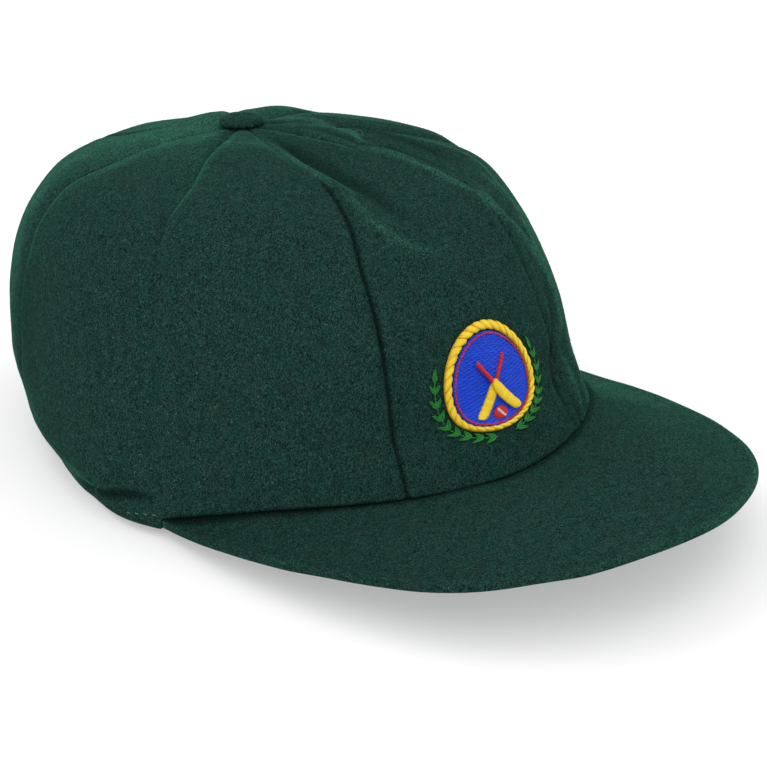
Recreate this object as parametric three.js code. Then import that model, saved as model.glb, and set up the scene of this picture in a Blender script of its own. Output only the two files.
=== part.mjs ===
// A traditional cricket cap: eight wool gores, a covered button and a cloth-covered peak, with a small
// embroidered badge on the front gore. It stands on its hem and on the corners of its peak.
// Millimetres and degrees, +Z up, the peak towards -Y. An angle goes round the head from the front and is
// positive towards +X. A rise goes up the cloth from the hem, at 0, to the button, at 1.

import * as THREE from 'three';

// Crown
const PANELS = 8;
const HEM_FRONT = 104.7;
const HEM_SIDE = 88.9;
const BACK_REACH = 116;
const CROWN_HEIGHT = 95.8;
const TOP_LEAN = 24;
const PANEL_PUFF = 2.3;
const PUFF_ROUNDNESS = 2.4;
const WALL = 2;
const TIP_HOLE = 2.5;

// Hem, which is level at the back and climbs onto the peak at the front
const HEM_TUCK = 5;
const TUCK_START_ANGLE = 71;
const TUCK_SPREAD_ANGLE = 15;
const TUCK_FOLD_RISE = 0.03;
const TUCK_END_RISE = 0.07;
const HEM_DROP_ANGLE = 4;
const HEM_TAIL = 0.28;
const HEM_TAIL_ANGLE = 32;
const HEM_BLEND_RISE = 0.31;

// Peak
const PEAK_REACH = 62.4;
const PEAK_FLARE = 7.8;
const FLARE_SHARPNESS = 2.15;
const PEAK_THICKNESS = 2.4;
const PEAK_NOSE = 1;
const PEAK_TILT = 5.6;
const PEAK_ARCH = 4.6;
const PEAK_SADDLE = 4.1;
const SADDLE_DIP = 1;
const SADDLE_SKEW = 1.6;
const SADDLE_FADE = 2;
const CORNER_HEIGHT = 6;
const PEAK_PANELS = 3;

// Button
const BUTTON_WIDTH = 14.6;
const BUTTON_HEIGHT = 3.8;
const BUTTON_LIFT = 0.5;

// Badge
const BADGE_ANGLE = -1;
const BADGE_RISE = 0.225;
const GROUND_RADIUS = 14.2;
const GROUND_THICKNESS = 0.8;
const ROPE_WIDTH = 2.4;
const ROPE_THICKNESS = 1.5;
const BAT_LENGTH = 20.4;
const BAT_WIDTH = 3.6;
const BAT_LEAN = 36;
const BAT_CROSSING = 0.56;
const THREAD_THICKNESS = 0.7;
const BALL_RADIUS = 2.6;
const BALL_DROP = 9;
const SPRAY_WIDTH = 4.8;
const SPRAY_START_ANGLE = 8;
const SPRAY_END_ANGLE = 104;
const LEAF_PAIRS = 7;
const LEAF_DEPTH = 1.3;

// Clearances
const SEAM_GAP = 0.3;
const SEAT_GAP = 0.3;
const BADGE_GAP = 0.45;

// Colours
const WOOL = { color: 0x1f3d37, roughness: 0.95 };
const GOLD_THREAD = { color: 0xe3bd28, roughness: 0.6 };
const BLUE_THREAD = { color: 0x1c3f9c, roughness: 0.6 };
const RED_THREAD = { color: 0xb32a1e, roughness: 0.6 };
const GREEN_THREAD = { color: 0x2c7a2f, roughness: 0.6 };

// Worked out from the sizes above
const PANEL_ANGLE = 360 / PANELS;
const CORNER_ANGLE = (PANEL_ANGLE * PEAK_PANELS) / 2;
const CORNER_X = HEM_SIDE * Math.sin(radians(CORNER_ANGLE));
const CORNER_Y = -HEM_FRONT * Math.cos(radians(CORNER_ANGLE));

// The crown's sections. up is a share of CROWN_HEIGHT, front of HEM_FRONT, side of HEM_SIDE, back of
// BACK_REACH, lean of TOP_LEAN, and puff of PANEL_PUFF.
const SECTIONS = [
  { rise: 0, up: 0, front: 1, side: 1, back: 0.71, lean: 0, puff: 0 },
  { rise: 0.084, up: 0.167, front: 0.952, side: 0.978, back: 0.885, lean: 0.01, puff: 0.2 },
  { rise: 0.168, up: 0.295, front: 0.915, side: 0.962, back: 0.98, lean: 0.05, puff: 0.4 },
  { rise: 0.252, up: 0.45, front: 0.892, side: 0.93, back: 0.98, lean: 0.11, puff: 0.5 },
  { rise: 0.342, up: 0.612, front: 0.855, side: 0.884, back: 0.92, lean: 0.2, puff: 0.6 },
  { rise: 0.447, up: 0.767, front: 0.782, side: 0.82, back: 0.802, lean: 0.31, puff: 0.7 },
  { rise: 0.558, up: 0.892, front: 0.69, side: 0.69, back: 0.625, lean: 0.44, puff: 0.8 },
  { rise: 0.67, up: 0.945, front: 0.545, side: 0.51, back: 0.425, lean: 0.6, puff: 0.85 },
  { rise: 0.815, up: 0.98, front: 0.315, side: 0.31, back: 0.228, lean: 0.79, puff: 1 },
  { rise: 0.93, up: 0.995, front: 0.12, side: 0.12, back: 0.088, lean: 0.93, puff: 0.4 },
  { rise: 1, up: 1, front: 0, side: 0, back: 0, lean: 1, puff: 0 },
];

// Folds and dents of the cloth. A fold lies at an angle and a rise and is turned from the upright towards
// +X. along and across are its half lengths, and out its height, all as shares of HEM_SIDE.
const FOLDS = [
  { angle: -3, rise: 0.63, turn: 0, along: 0.36, across: 0.17, out: -0.03 },
  { angle: -18, rise: 0.64, turn: -9, along: 0.26, across: 0.05, out: 0.02 },
  { angle: -13, rise: 0.49, turn: -24, along: 0.17, across: 0.09, out: 0.014 },
  { angle: 24, rise: 0.6, turn: 4, along: 0.34, across: 0.05, out: 0.018 },
  { angle: 46, rise: 0.79, turn: 62, along: 0.2, across: 0.05, out: -0.018 },
  { angle: 44, rise: 0.5, turn: -12, along: 0.3, across: 0.12, out: -0.014 },
  { angle: -77, rise: 0.01, turn: 0, along: 0.08, across: 0.12, out: 0.022 },
  { angle: 77, rise: 0.01, turn: 0, along: 0.08, across: 0.12, out: 0.022 },
];

// Half of a bat's outline, from its toe. along is a share of BAT_LENGTH, and wide of BAT_WIDTH.
const BAT_OUTLINE = [
  { along: 0, wide: 0.74 },
  { along: 0.06, wide: 1 },
  { along: 0.3, wide: 1 },
  { along: 0.54, wide: 0.94 },
  { along: 0.64, wide: 0.42 },
  { along: 0.82, wide: 0.36 },
  { along: 1, wide: 0.36 },
];

function radians(degrees) {
  return THREE.MathUtils.degToRad(degrees);
}

// The same angle between -180 and 180.
function wrapped(degrees) {
  return ((((degrees + 180) % 360) + 360) % 360) - 180;
}

function smooth(share) {
  return THREE.MathUtils.smoothstep(share, 0, 1);
}

// The slope of a table's column at one row, flat where the column turns, so that no curve overshoots.
function slopeAt(rows, column, i) {
  const step = (k) => (rows[k + 1][column] - rows[k][column]) / (rows[k + 1].rise - rows[k].rise);
  if (i === 0) return step(0);
  if (i === rows.length - 1) return step(i - 1);
  const before = step(i - 1);
  const after = step(i);
  return before * after > 0 ? (2 * before * after) / (before + after) : 0;
}

// A smooth curve through a table's rows.
function along(rows, column, rise) {
  let i = 0;
  while (i < rows.length - 2 && rise > rows[i + 1].rise) i += 1;
  const span = rows[i + 1].rise - rows[i].rise;
  const t = (rise - rows[i].rise) / span;
  const start = rows[i][column];
  const change = rows[i + 1][column] - start;
  const leaving = slopeAt(rows, column, i) * span;
  const arriving = slopeAt(rows, column, i + 1) * span;
  const bend = leaving + arriving - 2 * change;
  return start + t * (leaving + t * (change - leaving - bend + t * bend));
}

// The height of the peak's top face over a point of the plan.
function peakTop(x, y) {
  const forward = (CORNER_Y - y) * Math.tan(radians(PEAK_TILT));
  return CORNER_HEIGHT + forward + PEAK_ARCH * (1 - (x / CORNER_X) ** 2);
}

// How much higher the peak stands along the hem, where it is bent up over the temples.
function saddleAt(angle) {
  const share = Math.min(Math.abs(angle) / CORNER_ANGLE, 1);
  return PEAK_SADDLE * Math.sin(Math.PI * share ** SADDLE_SKEW) - SADDLE_DIP * (1 - share ** 2);
}

// The height of the hem's lower edge: on the peak at the front, falling to the ground behind its corners.
function hemHeight(angle) {
  const beyond = Math.abs(angle) - CORNER_ANGLE;
  const left = (spread) => 1 - smooth(beyond / spread);
  if (beyond > 0) {
    const share = (1 - HEM_TAIL) * left(HEM_DROP_ANGLE) + HEM_TAIL * left(HEM_TAIL_ANGLE);
    return (CORNER_HEIGHT + SEAT_GAP) * share;
  }
  const x = HEM_SIDE * Math.sin(radians(angle));
  const y = -HEM_FRONT * Math.cos(radians(angle));
  return peakTop(x, y) + saddleAt(angle) + SEAT_GAP;
}

// How far the hem is drawn in under the crown behind the peak's corners.
function tuckAt(angle, rise) {
  const round = smooth((Math.abs(angle) - TUCK_START_ANGLE) / TUCK_SPREAD_ANGLE);
  const height = 1 - smooth((rise - TUCK_FOLD_RISE) / (TUCK_END_RISE - TUCK_FOLD_RISE));
  return HEM_TUCK * round * height;
}

// The crown's form along its seams, before the gores puff out between them.
function seamForm(degrees, rise) {
  const angle = wrapped(degrees);
  const sin = Math.sin(radians(angle));
  const cos = Math.cos(radians(angle));
  const share = (column) => along(SECTIONS, column, rise);
  const side = HEM_SIDE * share('side');
  const depth = cos > 0 ? HEM_FRONT * share('front') : BACK_REACH * share('back');
  const outwards = new THREE.Vector2(depth * sin, -side * cos).normalize();
  const tuck = tuckAt(angle, rise);
  const climb = hemHeight(angle) * Math.max(0, 1 - rise / HEM_BLEND_RISE) ** 2;
  return new THREE.Vector3(
    side * sin - tuck * outwards.x,
    -depth * cos + TOP_LEAN * share('lean') - tuck * outwards.y,
    CROWN_HEIGHT * share('up') + climb,
  );
}

// The direction out of the cloth, level at the hem's lower edge.
function outOfCloth(angle, rise) {
  const turn = 1;
  const step = 0.004;
  const lowest = Math.max(rise - step, 0);
  const east = seamForm(angle + turn, rise).sub(seamForm(angle - turn, rise));
  const north = seamForm(angle, lowest + 2 * step).sub(seamForm(angle, lowest));
  const out = east.cross(north).normalize();
  out.z *= smooth(rise / TUCK_FOLD_RISE);
  return out.normalize();
}

function foldAt(fold, angle, rise) {
  const girth = HEM_SIDE * along(SECTIONS, 'side', fold.rise);
  const [low, high] = [fold.rise - 0.05, fold.rise + 0.05];
  const upright = seamForm(fold.angle, high).distanceTo(seamForm(fold.angle, low)) * 10;
  const east = radians(wrapped(angle - fold.angle)) * girth;
  const north = (rise - fold.rise) * upright;
  const sin = Math.sin(radians(fold.turn));
  const cos = Math.cos(radians(fold.turn));
  const length = (east * sin + north * cos) / (fold.along * HEM_SIDE);
  const width = (east * cos - north * sin) / (fold.across * HEM_SIDE);
  return fold.out * HEM_SIDE * Math.exp(-(length ** 2) - width ** 2);
}

// How far the cloth stands out of the seams' form, by the gores' puff and by the folds.
function swell(angle, rise) {
  const fromSeam = Math.abs((((angle + 360) / PANEL_ANGLE + 0.5) % 1) - 0.5) * 2;
  const puff = PANEL_PUFF * along(SECTIONS, 'puff', rise) * (1 - fromSeam ** PUFF_ROUNDNESS);
  return FOLDS.reduce((sum, fold) => sum + foldAt(fold, angle, rise), puff);
}

// A point of the crown, lifted out of the cloth's outer face.
function crownPoint(angle, rise, lift) {
  return seamForm(angle, rise).addScaledVector(outOfCloth(angle, rise), swell(angle, rise) + lift);
}

// A closed sheet. place(u, v, outer) gives its corners, with u, v and the outer face in a right hand's order.
function sheetGeometry(acrossSteps, alongSteps, place, ring = false) {
  const corners = [];
  for (let i = 0; i <= acrossSteps; i += 1) {
    const u = ring && i === acrossSteps ? 0 : i / acrossSteps;
    corners.push([]);
    for (let j = 0; j <= alongSteps; j += 1) {
      const v = j / alongSteps;
      corners[i].push([place(u, v, false), place(u, v, true)]);
    }
  }
  const positions = [];
  const triangle = (a, b, c) => {
    const sliver = a.distanceTo(b) < 1e-3 || b.distanceTo(c) < 1e-3 || c.distanceTo(a) < 1e-3;
    if (!sliver) positions.push(...a, ...b, ...c);
  };
  const quad = (a, b, c, d) => {
    triangle(a, b, c);
    triangle(a, c, d);
  };
  for (let i = 0; i < acrossSteps; i += 1) {
    for (let j = 0; j < alongSteps; j += 1) {
      const [a, b] = [corners[i][j], corners[i + 1][j]];
      const [d, c] = [corners[i][j + 1], corners[i + 1][j + 1]];
      quad(a[1], b[1], c[1], d[1]);
      quad(a[0], d[0], c[0], b[0]);
      if (j === 0) quad(a[0], b[0], b[1], a[1]);
      if (j === alongSteps - 1) quad(d[1], c[1], c[0], d[0]);
      if (i === 0 && !ring) quad(a[0], a[1], d[1], d[0]);
      if (i === acrossSteps - 1 && !ring) quad(b[1], b[0], c[0], c[1]);
    }
  }
  return new THREE.BufferGeometry().setAttribute('position', new THREE.Float32BufferAttribute(positions, 3));
}

function meshOf(name, geometry, look) {
  geometry.computeVertexNormals();
  const mesh = new THREE.Mesh(geometry, new THREE.MeshStandardMaterial({ metalness: 0, ...look }));
  mesh.name = name;
  return mesh;
}

// One gore of the crown, with half of each seam's gap taken off its sides.
function crownPanel(number) {
  const acrossSteps = 8;
  const hemSteps = 7;
  const bodySteps = 20;
  const hemShare = hemSteps / (hemSteps + bodySteps);
  const hemRise = TUCK_END_RISE * 1.2;
  const tipRise = 1 - (TIP_HOLE / (HEM_SIDE * along(SECTIONS, 'side', 0.93))) * 0.07;
  const middle = number * PANEL_ANGLE;
  const place = (u, v, outer) => {
    const body = (v - hemShare) / (1 - hemShare);
    const rise = v < hemShare ? (hemRise * v) / hemShare : hemRise + (tipRise - hemRise) * body;
    const girth = HEM_SIDE * along(SECTIONS, 'side', rise);
    const halfGap = THREE.MathUtils.radToDeg(SEAM_GAP / 2 / girth);
    const half = PANEL_ANGLE / 2 - halfGap * 1.25;
    return crownPoint(middle + (2 * u - 1) * half, rise, outer ? 0 : -WALL);
  };
  return meshOf(`crown_panel_${number + 1}`, sheetGeometry(acrossSteps, hemSteps + bodySteps, place), WOOL);
}

// The peak: a crescent from the hem's inner face to a round outer edge.
function peak() {
  const acrossSteps = 36;
  const bodySteps = 6;
  const noseShare = 1 / (bodySteps + 1);
  const place = (u, v, outer) => {
    const side = 2 * u - 1;
    const turn = radians(side * 90);
    const hemAngle = side * (CORNER_ANGLE - 0.5);
    const angle = radians(hemAngle);
    const flare = PEAK_FLARE * Math.abs(Math.cos(turn)) ** FLARE_SHARPNESS;
    const edge = new THREE.Vector2(
      (CORNER_X + flare) * Math.sin(turn),
      CORNER_Y - (HEM_FRONT + PEAK_REACH + CORNER_Y) * Math.cos(turn),
    );
    const hem = new THREE.Vector2((HEM_SIDE - WALL) * Math.sin(angle), -(HEM_FRONT - WALL) * Math.cos(angle));
    const inwards = Math.max(v - noseShare, 0) / (1 - noseShare);
    const nose = v < noseShare ? PEAK_NOSE * Math.cos(turn) : 0;
    const spot = edge.clone().lerp(hem, inwards);
    spot.add(edge.clone().normalize().multiplyScalar(nose));
    const top = peakTop(spot.x, spot.y) + saddleAt(hemAngle) * inwards ** SADDLE_FADE;
    if (v < noseShare) return new THREE.Vector3(spot.x, spot.y, top - PEAK_THICKNESS / 2);
    return new THREE.Vector3(spot.x, spot.y, outer ? top : top - PEAK_THICKNESS);
  };
  return meshOf('peak', sheetGeometry(acrossSteps, bodySteps + 1, place), WOOL);
}

// The button, a low dome with its edge drawn in, over the gores' tips.
function button() {
  const radius = BUTTON_WIDTH / 2;
  const profile = [
    new THREE.Vector2(0, 0),
    new THREE.Vector2(radius * 0.8, 0),
    new THREE.Vector2(radius * 0.97, BUTTON_HEIGHT * 0.22),
    new THREE.Vector2(radius, BUTTON_HEIGHT * 0.42),
    new THREE.Vector2(radius * 0.9, BUTTON_HEIGHT * 0.68),
    new THREE.Vector2(radius * 0.66, BUTTON_HEIGHT * 0.88),
    new THREE.Vector2(radius * 0.34, BUTTON_HEIGHT * 0.98),
    new THREE.Vector2(0, BUTTON_HEIGHT),
  ];
  const mesh = meshOf('button', new THREE.LatheGeometry(profile, 20), WOOL);
  mesh.rotation.x = Math.PI / 2;
  mesh.position.set(0, TOP_LEAN, CROWN_HEIGHT + SEAT_GAP + BUTTON_LIFT);
  return mesh;
}

// A point of the badge, in millimetres right and up from its middle and out of the front gore.
function badgePoint(right, up, lift) {
  const girth = HEM_SIDE * along(SECTIONS, 'side', BADGE_RISE);
  const upright = seamForm(0, BADGE_RISE + 0.05).distanceTo(seamForm(0, BADGE_RISE - 0.05)) * 10;
  const angle = BADGE_ANGLE + THREE.MathUtils.radToDeg(right / girth);
  return crownPoint(angle, BADGE_RISE + up / upright, BADGE_GAP + lift);
}

// A thin round plate of the badge, from an inner radius to its rim, over turns clockwise from the top.
function badgePlate({ y = 0, rim, inner = () => 0, from = 0, to = 360, steps, rings, base = 0, top }) {
  const place = (u, v, outer) => {
    const turn = radians(from + (to - from) * u);
    const radius = inner(u) + (rim(u) - inner(u)) * v;
    const dome = outer ? top(v) : 0;
    return badgePoint(radius * Math.sin(turn), y + radius * Math.cos(turn), base + dome);
  };
  return sheetGeometry(steps, rings, place, to - from === 360);
}

function badgeGround() {
  const plate = { rim: () => GROUND_RADIUS, steps: 28, rings: 4, top: () => GROUND_THICKNESS };
  return meshOf('badge_ground', badgePlate(plate), BLUE_THREAD);
}

function badgeRope() {
  const inner = GROUND_RADIUS + SEAT_GAP;
  const round = (v) => ROPE_THICKNESS * (0.5 + 0.5 * Math.sin(Math.PI * v));
  const plate = { rim: () => inner + ROPE_WIDTH, inner: () => inner, steps: 32, rings: 3, top: round };
  return meshOf('badge_rope', badgePlate(plate), GOLD_THREAD);
}

// One of two crossed bats, as padded embroidery. The second one lies a layer higher, over the first.
function badgeBat(name, side, layer) {
  const edge = (row, way) => {
    return new THREE.Vector2((way * row.wide * BAT_WIDTH) / 2, (row.along - BAT_CROSSING) * BAT_LENGTH);
  };
  const right = BAT_OUTLINE.map((row) => edge(row, 1));
  const left = BAT_OUTLINE.map((row) => edge(row, -1)).reverse();
  const lean = radians(side * BAT_LEAN);
  const outline = [...right, ...left].map((spot) => spot.rotateAround(new THREE.Vector2(), lean));
  const depth = THREAD_THICKNESS;
  const geometry = new THREE.ExtrudeGeometry(new THREE.Shape(outline), { depth, bevelEnabled: false });
  const spots = geometry.getAttribute('position');
  const base = GROUND_THICKNESS + BADGE_GAP + layer * (THREAD_THICKNESS + BADGE_GAP);
  for (let i = 0; i < spots.count; i += 1) {
    const spot = badgePoint(spots.getX(i), spots.getY(i), base + spots.getZ(i));
    spots.setXYZ(i, spot.x, spot.y, spot.z);
  }
  return meshOf(name, geometry, GOLD_THREAD);
}

function badgeBall() {
  const plate = {
    y: -BALL_DROP,
    rim: () => BALL_RADIUS,
    steps: 14,
    rings: 3,
    base: GROUND_THICKNESS + BADGE_GAP,
    top: (v) => THREAD_THICKNESS * (1.5 - 0.9 * v ** 2),
  };
  return meshOf('badge_ball', badgePlate(plate), RED_THREAD);
}

// A spray of leaves round one side of the rope, from the foot of the badge upwards.
function badgeSpray(name, side) {
  const inner = GROUND_RADIUS + ROPE_WIDTH + 4 * SEAT_GAP;
  const leaf = (u) => LEAF_DEPTH * Math.abs(Math.sin(Math.PI * LEAF_PAIRS * u));
  const taper = (u) => SPRAY_WIDTH * (0.62 + 0.38 * Math.sin(Math.PI * u));
  const [low, high] = [180 - SPRAY_START_ANGLE, 180 - SPRAY_END_ANGLE];
  const plate = {
    rim: (u) => inner + taper(u) - LEAF_DEPTH + leaf(u),
    inner: (u) => inner + (LEAF_DEPTH - leaf(u)) / 2,
    from: side > 0 ? high : -low,
    to: side > 0 ? low : -high,
    steps: LEAF_PAIRS * 4,
    rings: 2,
    top: () => THREAD_THICKNESS,
  };
  return meshOf(name, badgePlate(plate), GREEN_THREAD);
}

// The cap in the head's own frame, then stood with its origin under the middle of its box.
function cap() {
  const pieces = new THREE.Group();
  for (let i = 0; i < PANELS; i += 1) pieces.add(crownPanel(i));
  pieces.add(peak(), button(), badgeGround(), badgeRope(), badgeBall());
  pieces.add(badgeBat('badge_bat_left', -1, 0), badgeBat('badge_bat_right', 1, 1));
  pieces.add(badgeSpray('badge_spray_left', 1), badgeSpray('badge_spray_right', -1));
  const box = new THREE.Box3().setFromObject(pieces, true);
  const middle = box.getCenter(new THREE.Vector3());
  pieces.position.set(-middle.x, -middle.y, -box.min.z);
  return new THREE.Group().add(pieces);
}

export default cap();
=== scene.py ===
"""Looks of a traditional wool cricket cap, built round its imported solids.

The cap stands on its hem with the peak towards -Y. Lengths are in metres and angles in degrees. An angle goes
round the head from the front and is positive towards +X, the wearer's left. A rise goes up the cloth from
the hem, at 0, to the button, at 1.
"""

import logging
import math
from dataclasses import dataclass, field
from enum import Enum
from typing import Any, Mapping, Sequence, Union

import bpy
import numpy as np
from mathutils import Matrix, Vector

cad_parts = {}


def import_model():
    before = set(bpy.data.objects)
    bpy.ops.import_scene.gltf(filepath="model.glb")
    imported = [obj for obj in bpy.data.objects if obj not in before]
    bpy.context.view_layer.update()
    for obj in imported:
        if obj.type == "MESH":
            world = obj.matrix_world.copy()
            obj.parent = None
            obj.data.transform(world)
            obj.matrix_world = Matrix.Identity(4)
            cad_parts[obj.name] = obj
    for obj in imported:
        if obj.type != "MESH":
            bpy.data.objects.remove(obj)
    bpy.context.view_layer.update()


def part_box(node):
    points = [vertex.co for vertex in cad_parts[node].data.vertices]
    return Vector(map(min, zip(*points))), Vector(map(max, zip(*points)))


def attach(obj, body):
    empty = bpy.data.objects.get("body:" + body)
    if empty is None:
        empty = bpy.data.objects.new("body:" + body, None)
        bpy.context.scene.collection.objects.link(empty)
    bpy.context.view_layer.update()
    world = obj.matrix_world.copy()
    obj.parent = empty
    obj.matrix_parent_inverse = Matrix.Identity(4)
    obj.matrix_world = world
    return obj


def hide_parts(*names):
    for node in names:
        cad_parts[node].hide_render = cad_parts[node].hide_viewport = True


LOG = logging.getLogger("cap")
MM = 0.001
BODY = "root"
IMAGE_WIDTH = 767


class Slot(Enum):
    """The record's material slots."""

    WOOL = "wool"
    GOLD = "gold_thread"
    BLUE = "blue_thread"
    RED = "red_thread"
    GREEN = "green_thread"


@dataclass(frozen=True)
class Section:
    """One level of the crown, in shares of the crown's named sizes."""

    rise: float
    up: float
    front: float
    side: float
    back: float
    lean: float
    puff: float


@dataclass(frozen=True)
class Fold:
    """A soft ridge or hollow, a bell curve over the cloth, in shares of the hem's half width.

    The turn goes from the upright towards +X. For a patch of painted sheen, what stands for the height is a share
    of the full painted sheen, and a share below 0 is painted shade.
    """

    angle: float
    rise: float
    turn: float
    along: float
    across: float
    out: float


@dataclass(frozen=True)
class Crease:
    """A ridge or valley that follows a line of angles and rises over the cloth."""

    line: tuple[tuple[float, float], ...]
    width: float
    out: float


@dataclass(frozen=True)
class Seam:
    """How one seam of the crown lies: the groove in it, and the strip of doubled cloth beside it.

    The low share is how much of the groove is left towards the hem. Above the end rise a ridge hides it. The
    lean is how many degrees it wanders towards +X over the whole rise.
    """

    angle: float
    depth: float
    width: float
    strip: float
    low_share: float
    end_rise: float = 1
    lean: float = 0


SECTIONS = (
    Section(0, 0, 1, 1, 0.71, 0, 0),
    Section(0.084, 0.167, 0.952, 0.978, 0.885, 0.01, 0.2),
    Section(0.168, 0.295, 0.915, 0.962, 0.98, 0.05, 0.4),
    Section(0.252, 0.45, 0.892, 0.93, 0.98, 0.11, 0.5),
    Section(0.342, 0.612, 0.855, 0.884, 0.92, 0.2, 0.6),
    Section(0.447, 0.767, 0.782, 0.82, 0.802, 0.31, 0.7),
    Section(0.558, 0.892, 0.69, 0.69, 0.625, 0.44, 0.8),
    Section(0.67, 0.945, 0.545, 0.51, 0.425, 0.6, 0.85),
    Section(0.815, 0.98, 0.315, 0.31, 0.228, 0.79, 1),
    Section(0.93, 0.995, 0.12, 0.12, 0.088, 0.93, 0.4),
    Section(1, 1, 0, 0, 0, 1, 0),
)

FOLDS = (
    Fold(-3, 0.63, 0, 0.36, 0.17, -0.03),
    Fold(-18, 0.64, -9, 0.26, 0.05, 0.02),
    Fold(-13, 0.49, -24, 0.17, 0.09, 0.014),
    Fold(24, 0.6, 4, 0.34, 0.05, 0.018),
    Fold(46, 0.79, 62, 0.2, 0.05, -0.018),
    Fold(44, 0.5, -12, 0.3, 0.12, -0.014),
    Fold(76, 0.56, 0, 0.12, 0.12, 0.007),
    Fold(46, 0.04, 0, 0.16, 0.17, -0.026),
    Fold(160, 0.83, 0, 0.1, 0.12, 0.014),
    Fold(126, 0.72, 0, 0.14, 0.12, 0.01),
    Fold(176, 0.7, 0, 0.12, 0.12, -0.008),
    Fold(-158, 0.58, 0, 0.1, 0.12, 0.013),
    *(Fold(82 * side, 0.01, 0, 0.25, 0.18, 0.026) for side in (-1, 1)),
)

TUCK_LINE = ((93, 0.022), (85, 0.028), (79.5, 0.037), (75.5, 0.046), (71.5, 0.05), (68, 0.05))

CREASES = (
    Crease(((-17, 0.96), (-19.5, 0.87), (-20.3, 0.77), (-19.5, 0.693), (-18.3, 0.65)), 1.5 * MM, 0.85 * MM),
    Crease(((-19, 0.68), (-17.8, 0.64), (-17.3, 0.58), (-16.3, 0.542), (-13, 0.503), (-8.5, 0.475), (-4, 0.46),
            (2, 0.45)), 2 * MM, 0.4 * MM),
    Crease(((-9, 0.94), (-11, 0.86), (-11.5, 0.77), (-10, 0.7), (-8, 0.64), (-8, 0.58), (-4, 0.53), (3, 0.5)),
           4.5 * MM, -0.5 * MM),
    Crease(((-12, 0.95), (-14.5, 0.86), (-15.5, 0.77), (-14.5, 0.7), (-12.5, 0.64)), 1.8 * MM, -0.4 * MM),
    Crease(((32, 0.92), (27, 0.85), (25, 0.79), (24.5, 0.73), (22.5, 0.662), (21, 0.605), (21, 0.56), (23, 0.52),
            (25, 0.47), (28, 0.43), (30.5, 0.37), (32.5, 0.305), (33, 0.25)), 1.8 * MM, 0.85 * MM),
    Crease(((55, 0.66), (50, 0.6), (45, 0.53), (40, 0.48), (34, 0.43), (32.5, 0.38), (33.5, 0.323), (33, 0.278),
            (30.5, 0.245), (25.5, 0.21)), 2.2 * MM, 0.7 * MM),
    Crease(((31, 0.36), (29, 0.31), (27.5, 0.273), (24.5, 0.238), (20.5, 0.21), (19, 0.155), (19, 0.1), (19, 0.05),
            (18.5, 0)), 1.5 * MM, -0.7 * MM),
    Crease(((24, 0.2), (27, 0.165), (27, 0.12), (26.5, 0.08), (25.5, 0.03)), 2.2 * MM, 0.5 * MM),
    Crease(((92, 0.95), (76, 0.9), (77, 0.85), (66, 0.815), (50, 0.8), (36, 0.787), (29, 0.75), (25.5, 0.7),
            (24.5, 0.64)), 1.8 * MM, 0.6 * MM),
    Crease(((38, 0.86), (30, 0.825), (29, 0.76), (28.5, 0.7), (26.5, 0.62), (28, 0.55)), 1.8 * MM, -0.6 * MM),
    Crease(((75, 0.79), (62, 0.765), (50, 0.72), (42, 0.64), (37, 0.57)), 4 * MM, -0.4 * MM),
    Crease(((-66, 0.93), (-66, 0.8), (-66.5, 0.7), (-67, 0.6), (-66, 0.5)), 2.4 * MM, 0.25 * MM),
    *(Crease(tuple((side * angle, rise) for angle, rise in TUCK_LINE), 1.7 * MM, -0.9 * MM) for side in (-1, 1)),
)

# Patches of painted sheen on the crown, and of painted shade where the share is below 0.
PAINTED_SHEEN_AND_SHADE = (
    Fold(-138, 0.86, 0, 0.26, 0.26, 0.8),
    Fold(-132, 0.62, 0, 0.2, 0.24, 0.4),
    Fold(150, 0.85, 0, 0.16, 0.4, 0.45),
    Fold(-108, 0.27, 0, 0.32, 0.16, -0.55),
    Fold(4, 0.77, 0, 0.3, 0.2, -0.32),
    Fold(55, 0.68, 0, 0.3, 0.28, -0.34),
    Fold(-122, 0.45, 0, 0.16, 0.12, 0.3),
)

SEAMS = (
    Seam(-157.5, 0.7 * MM, 1.1 * MM, 0.25 * MM, 0.6),
    Seam(-112.5, 0.5 * MM, 1.2 * MM, 0.15 * MM, 0.3),
    Seam(-67.5, 0.6 * MM, 1.0 * MM, 0.15 * MM, 0.4),
    Seam(-22.5, 1.0 * MM, 0.85 * MM, 0.2 * MM, 1, end_rise=0.66, lean=5),
    Seam(22.5, 0.7 * MM, 0.8 * MM, 0.4 * MM, 1, end_rise=0.5),
    Seam(67.5, 0.6 * MM, 1.0 * MM, 0.2 * MM, 0.5),
    Seam(112.5, 0.6 * MM, 1.1 * MM, 0.2 * MM, 0.5, end_rise=0.75),
    Seam(157.5, 0.7 * MM, 1.1 * MM, 0.25 * MM, 0.6),
)


def smooth(share: np.ndarray) -> np.ndarray:
    """Ease a share from 0 to 1."""
    share = np.clip(share, 0, 1)
    return share * share * (3 - 2 * share)


def wrapped(degrees: np.ndarray) -> np.ndarray:
    """Bring angles between -180 and 180."""
    return (np.asarray(degrees, float) + 180) % 360 - 180


def unit(vectors: np.ndarray) -> np.ndarray:
    """Scale vectors to a length of 1."""
    return vectors / np.maximum(np.linalg.norm(vectors, axis=-1, keepdims=True), 1e-12)


def eased(line: np.ndarray, times: int) -> np.ndarray:
    """Smooth a line of values or points a few times over, with its ends kept."""
    for _ in range(times):
        line[1:-1] = (line[:-2] + 2 * line[1:-1] + line[2:]) / 4
    return line


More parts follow.
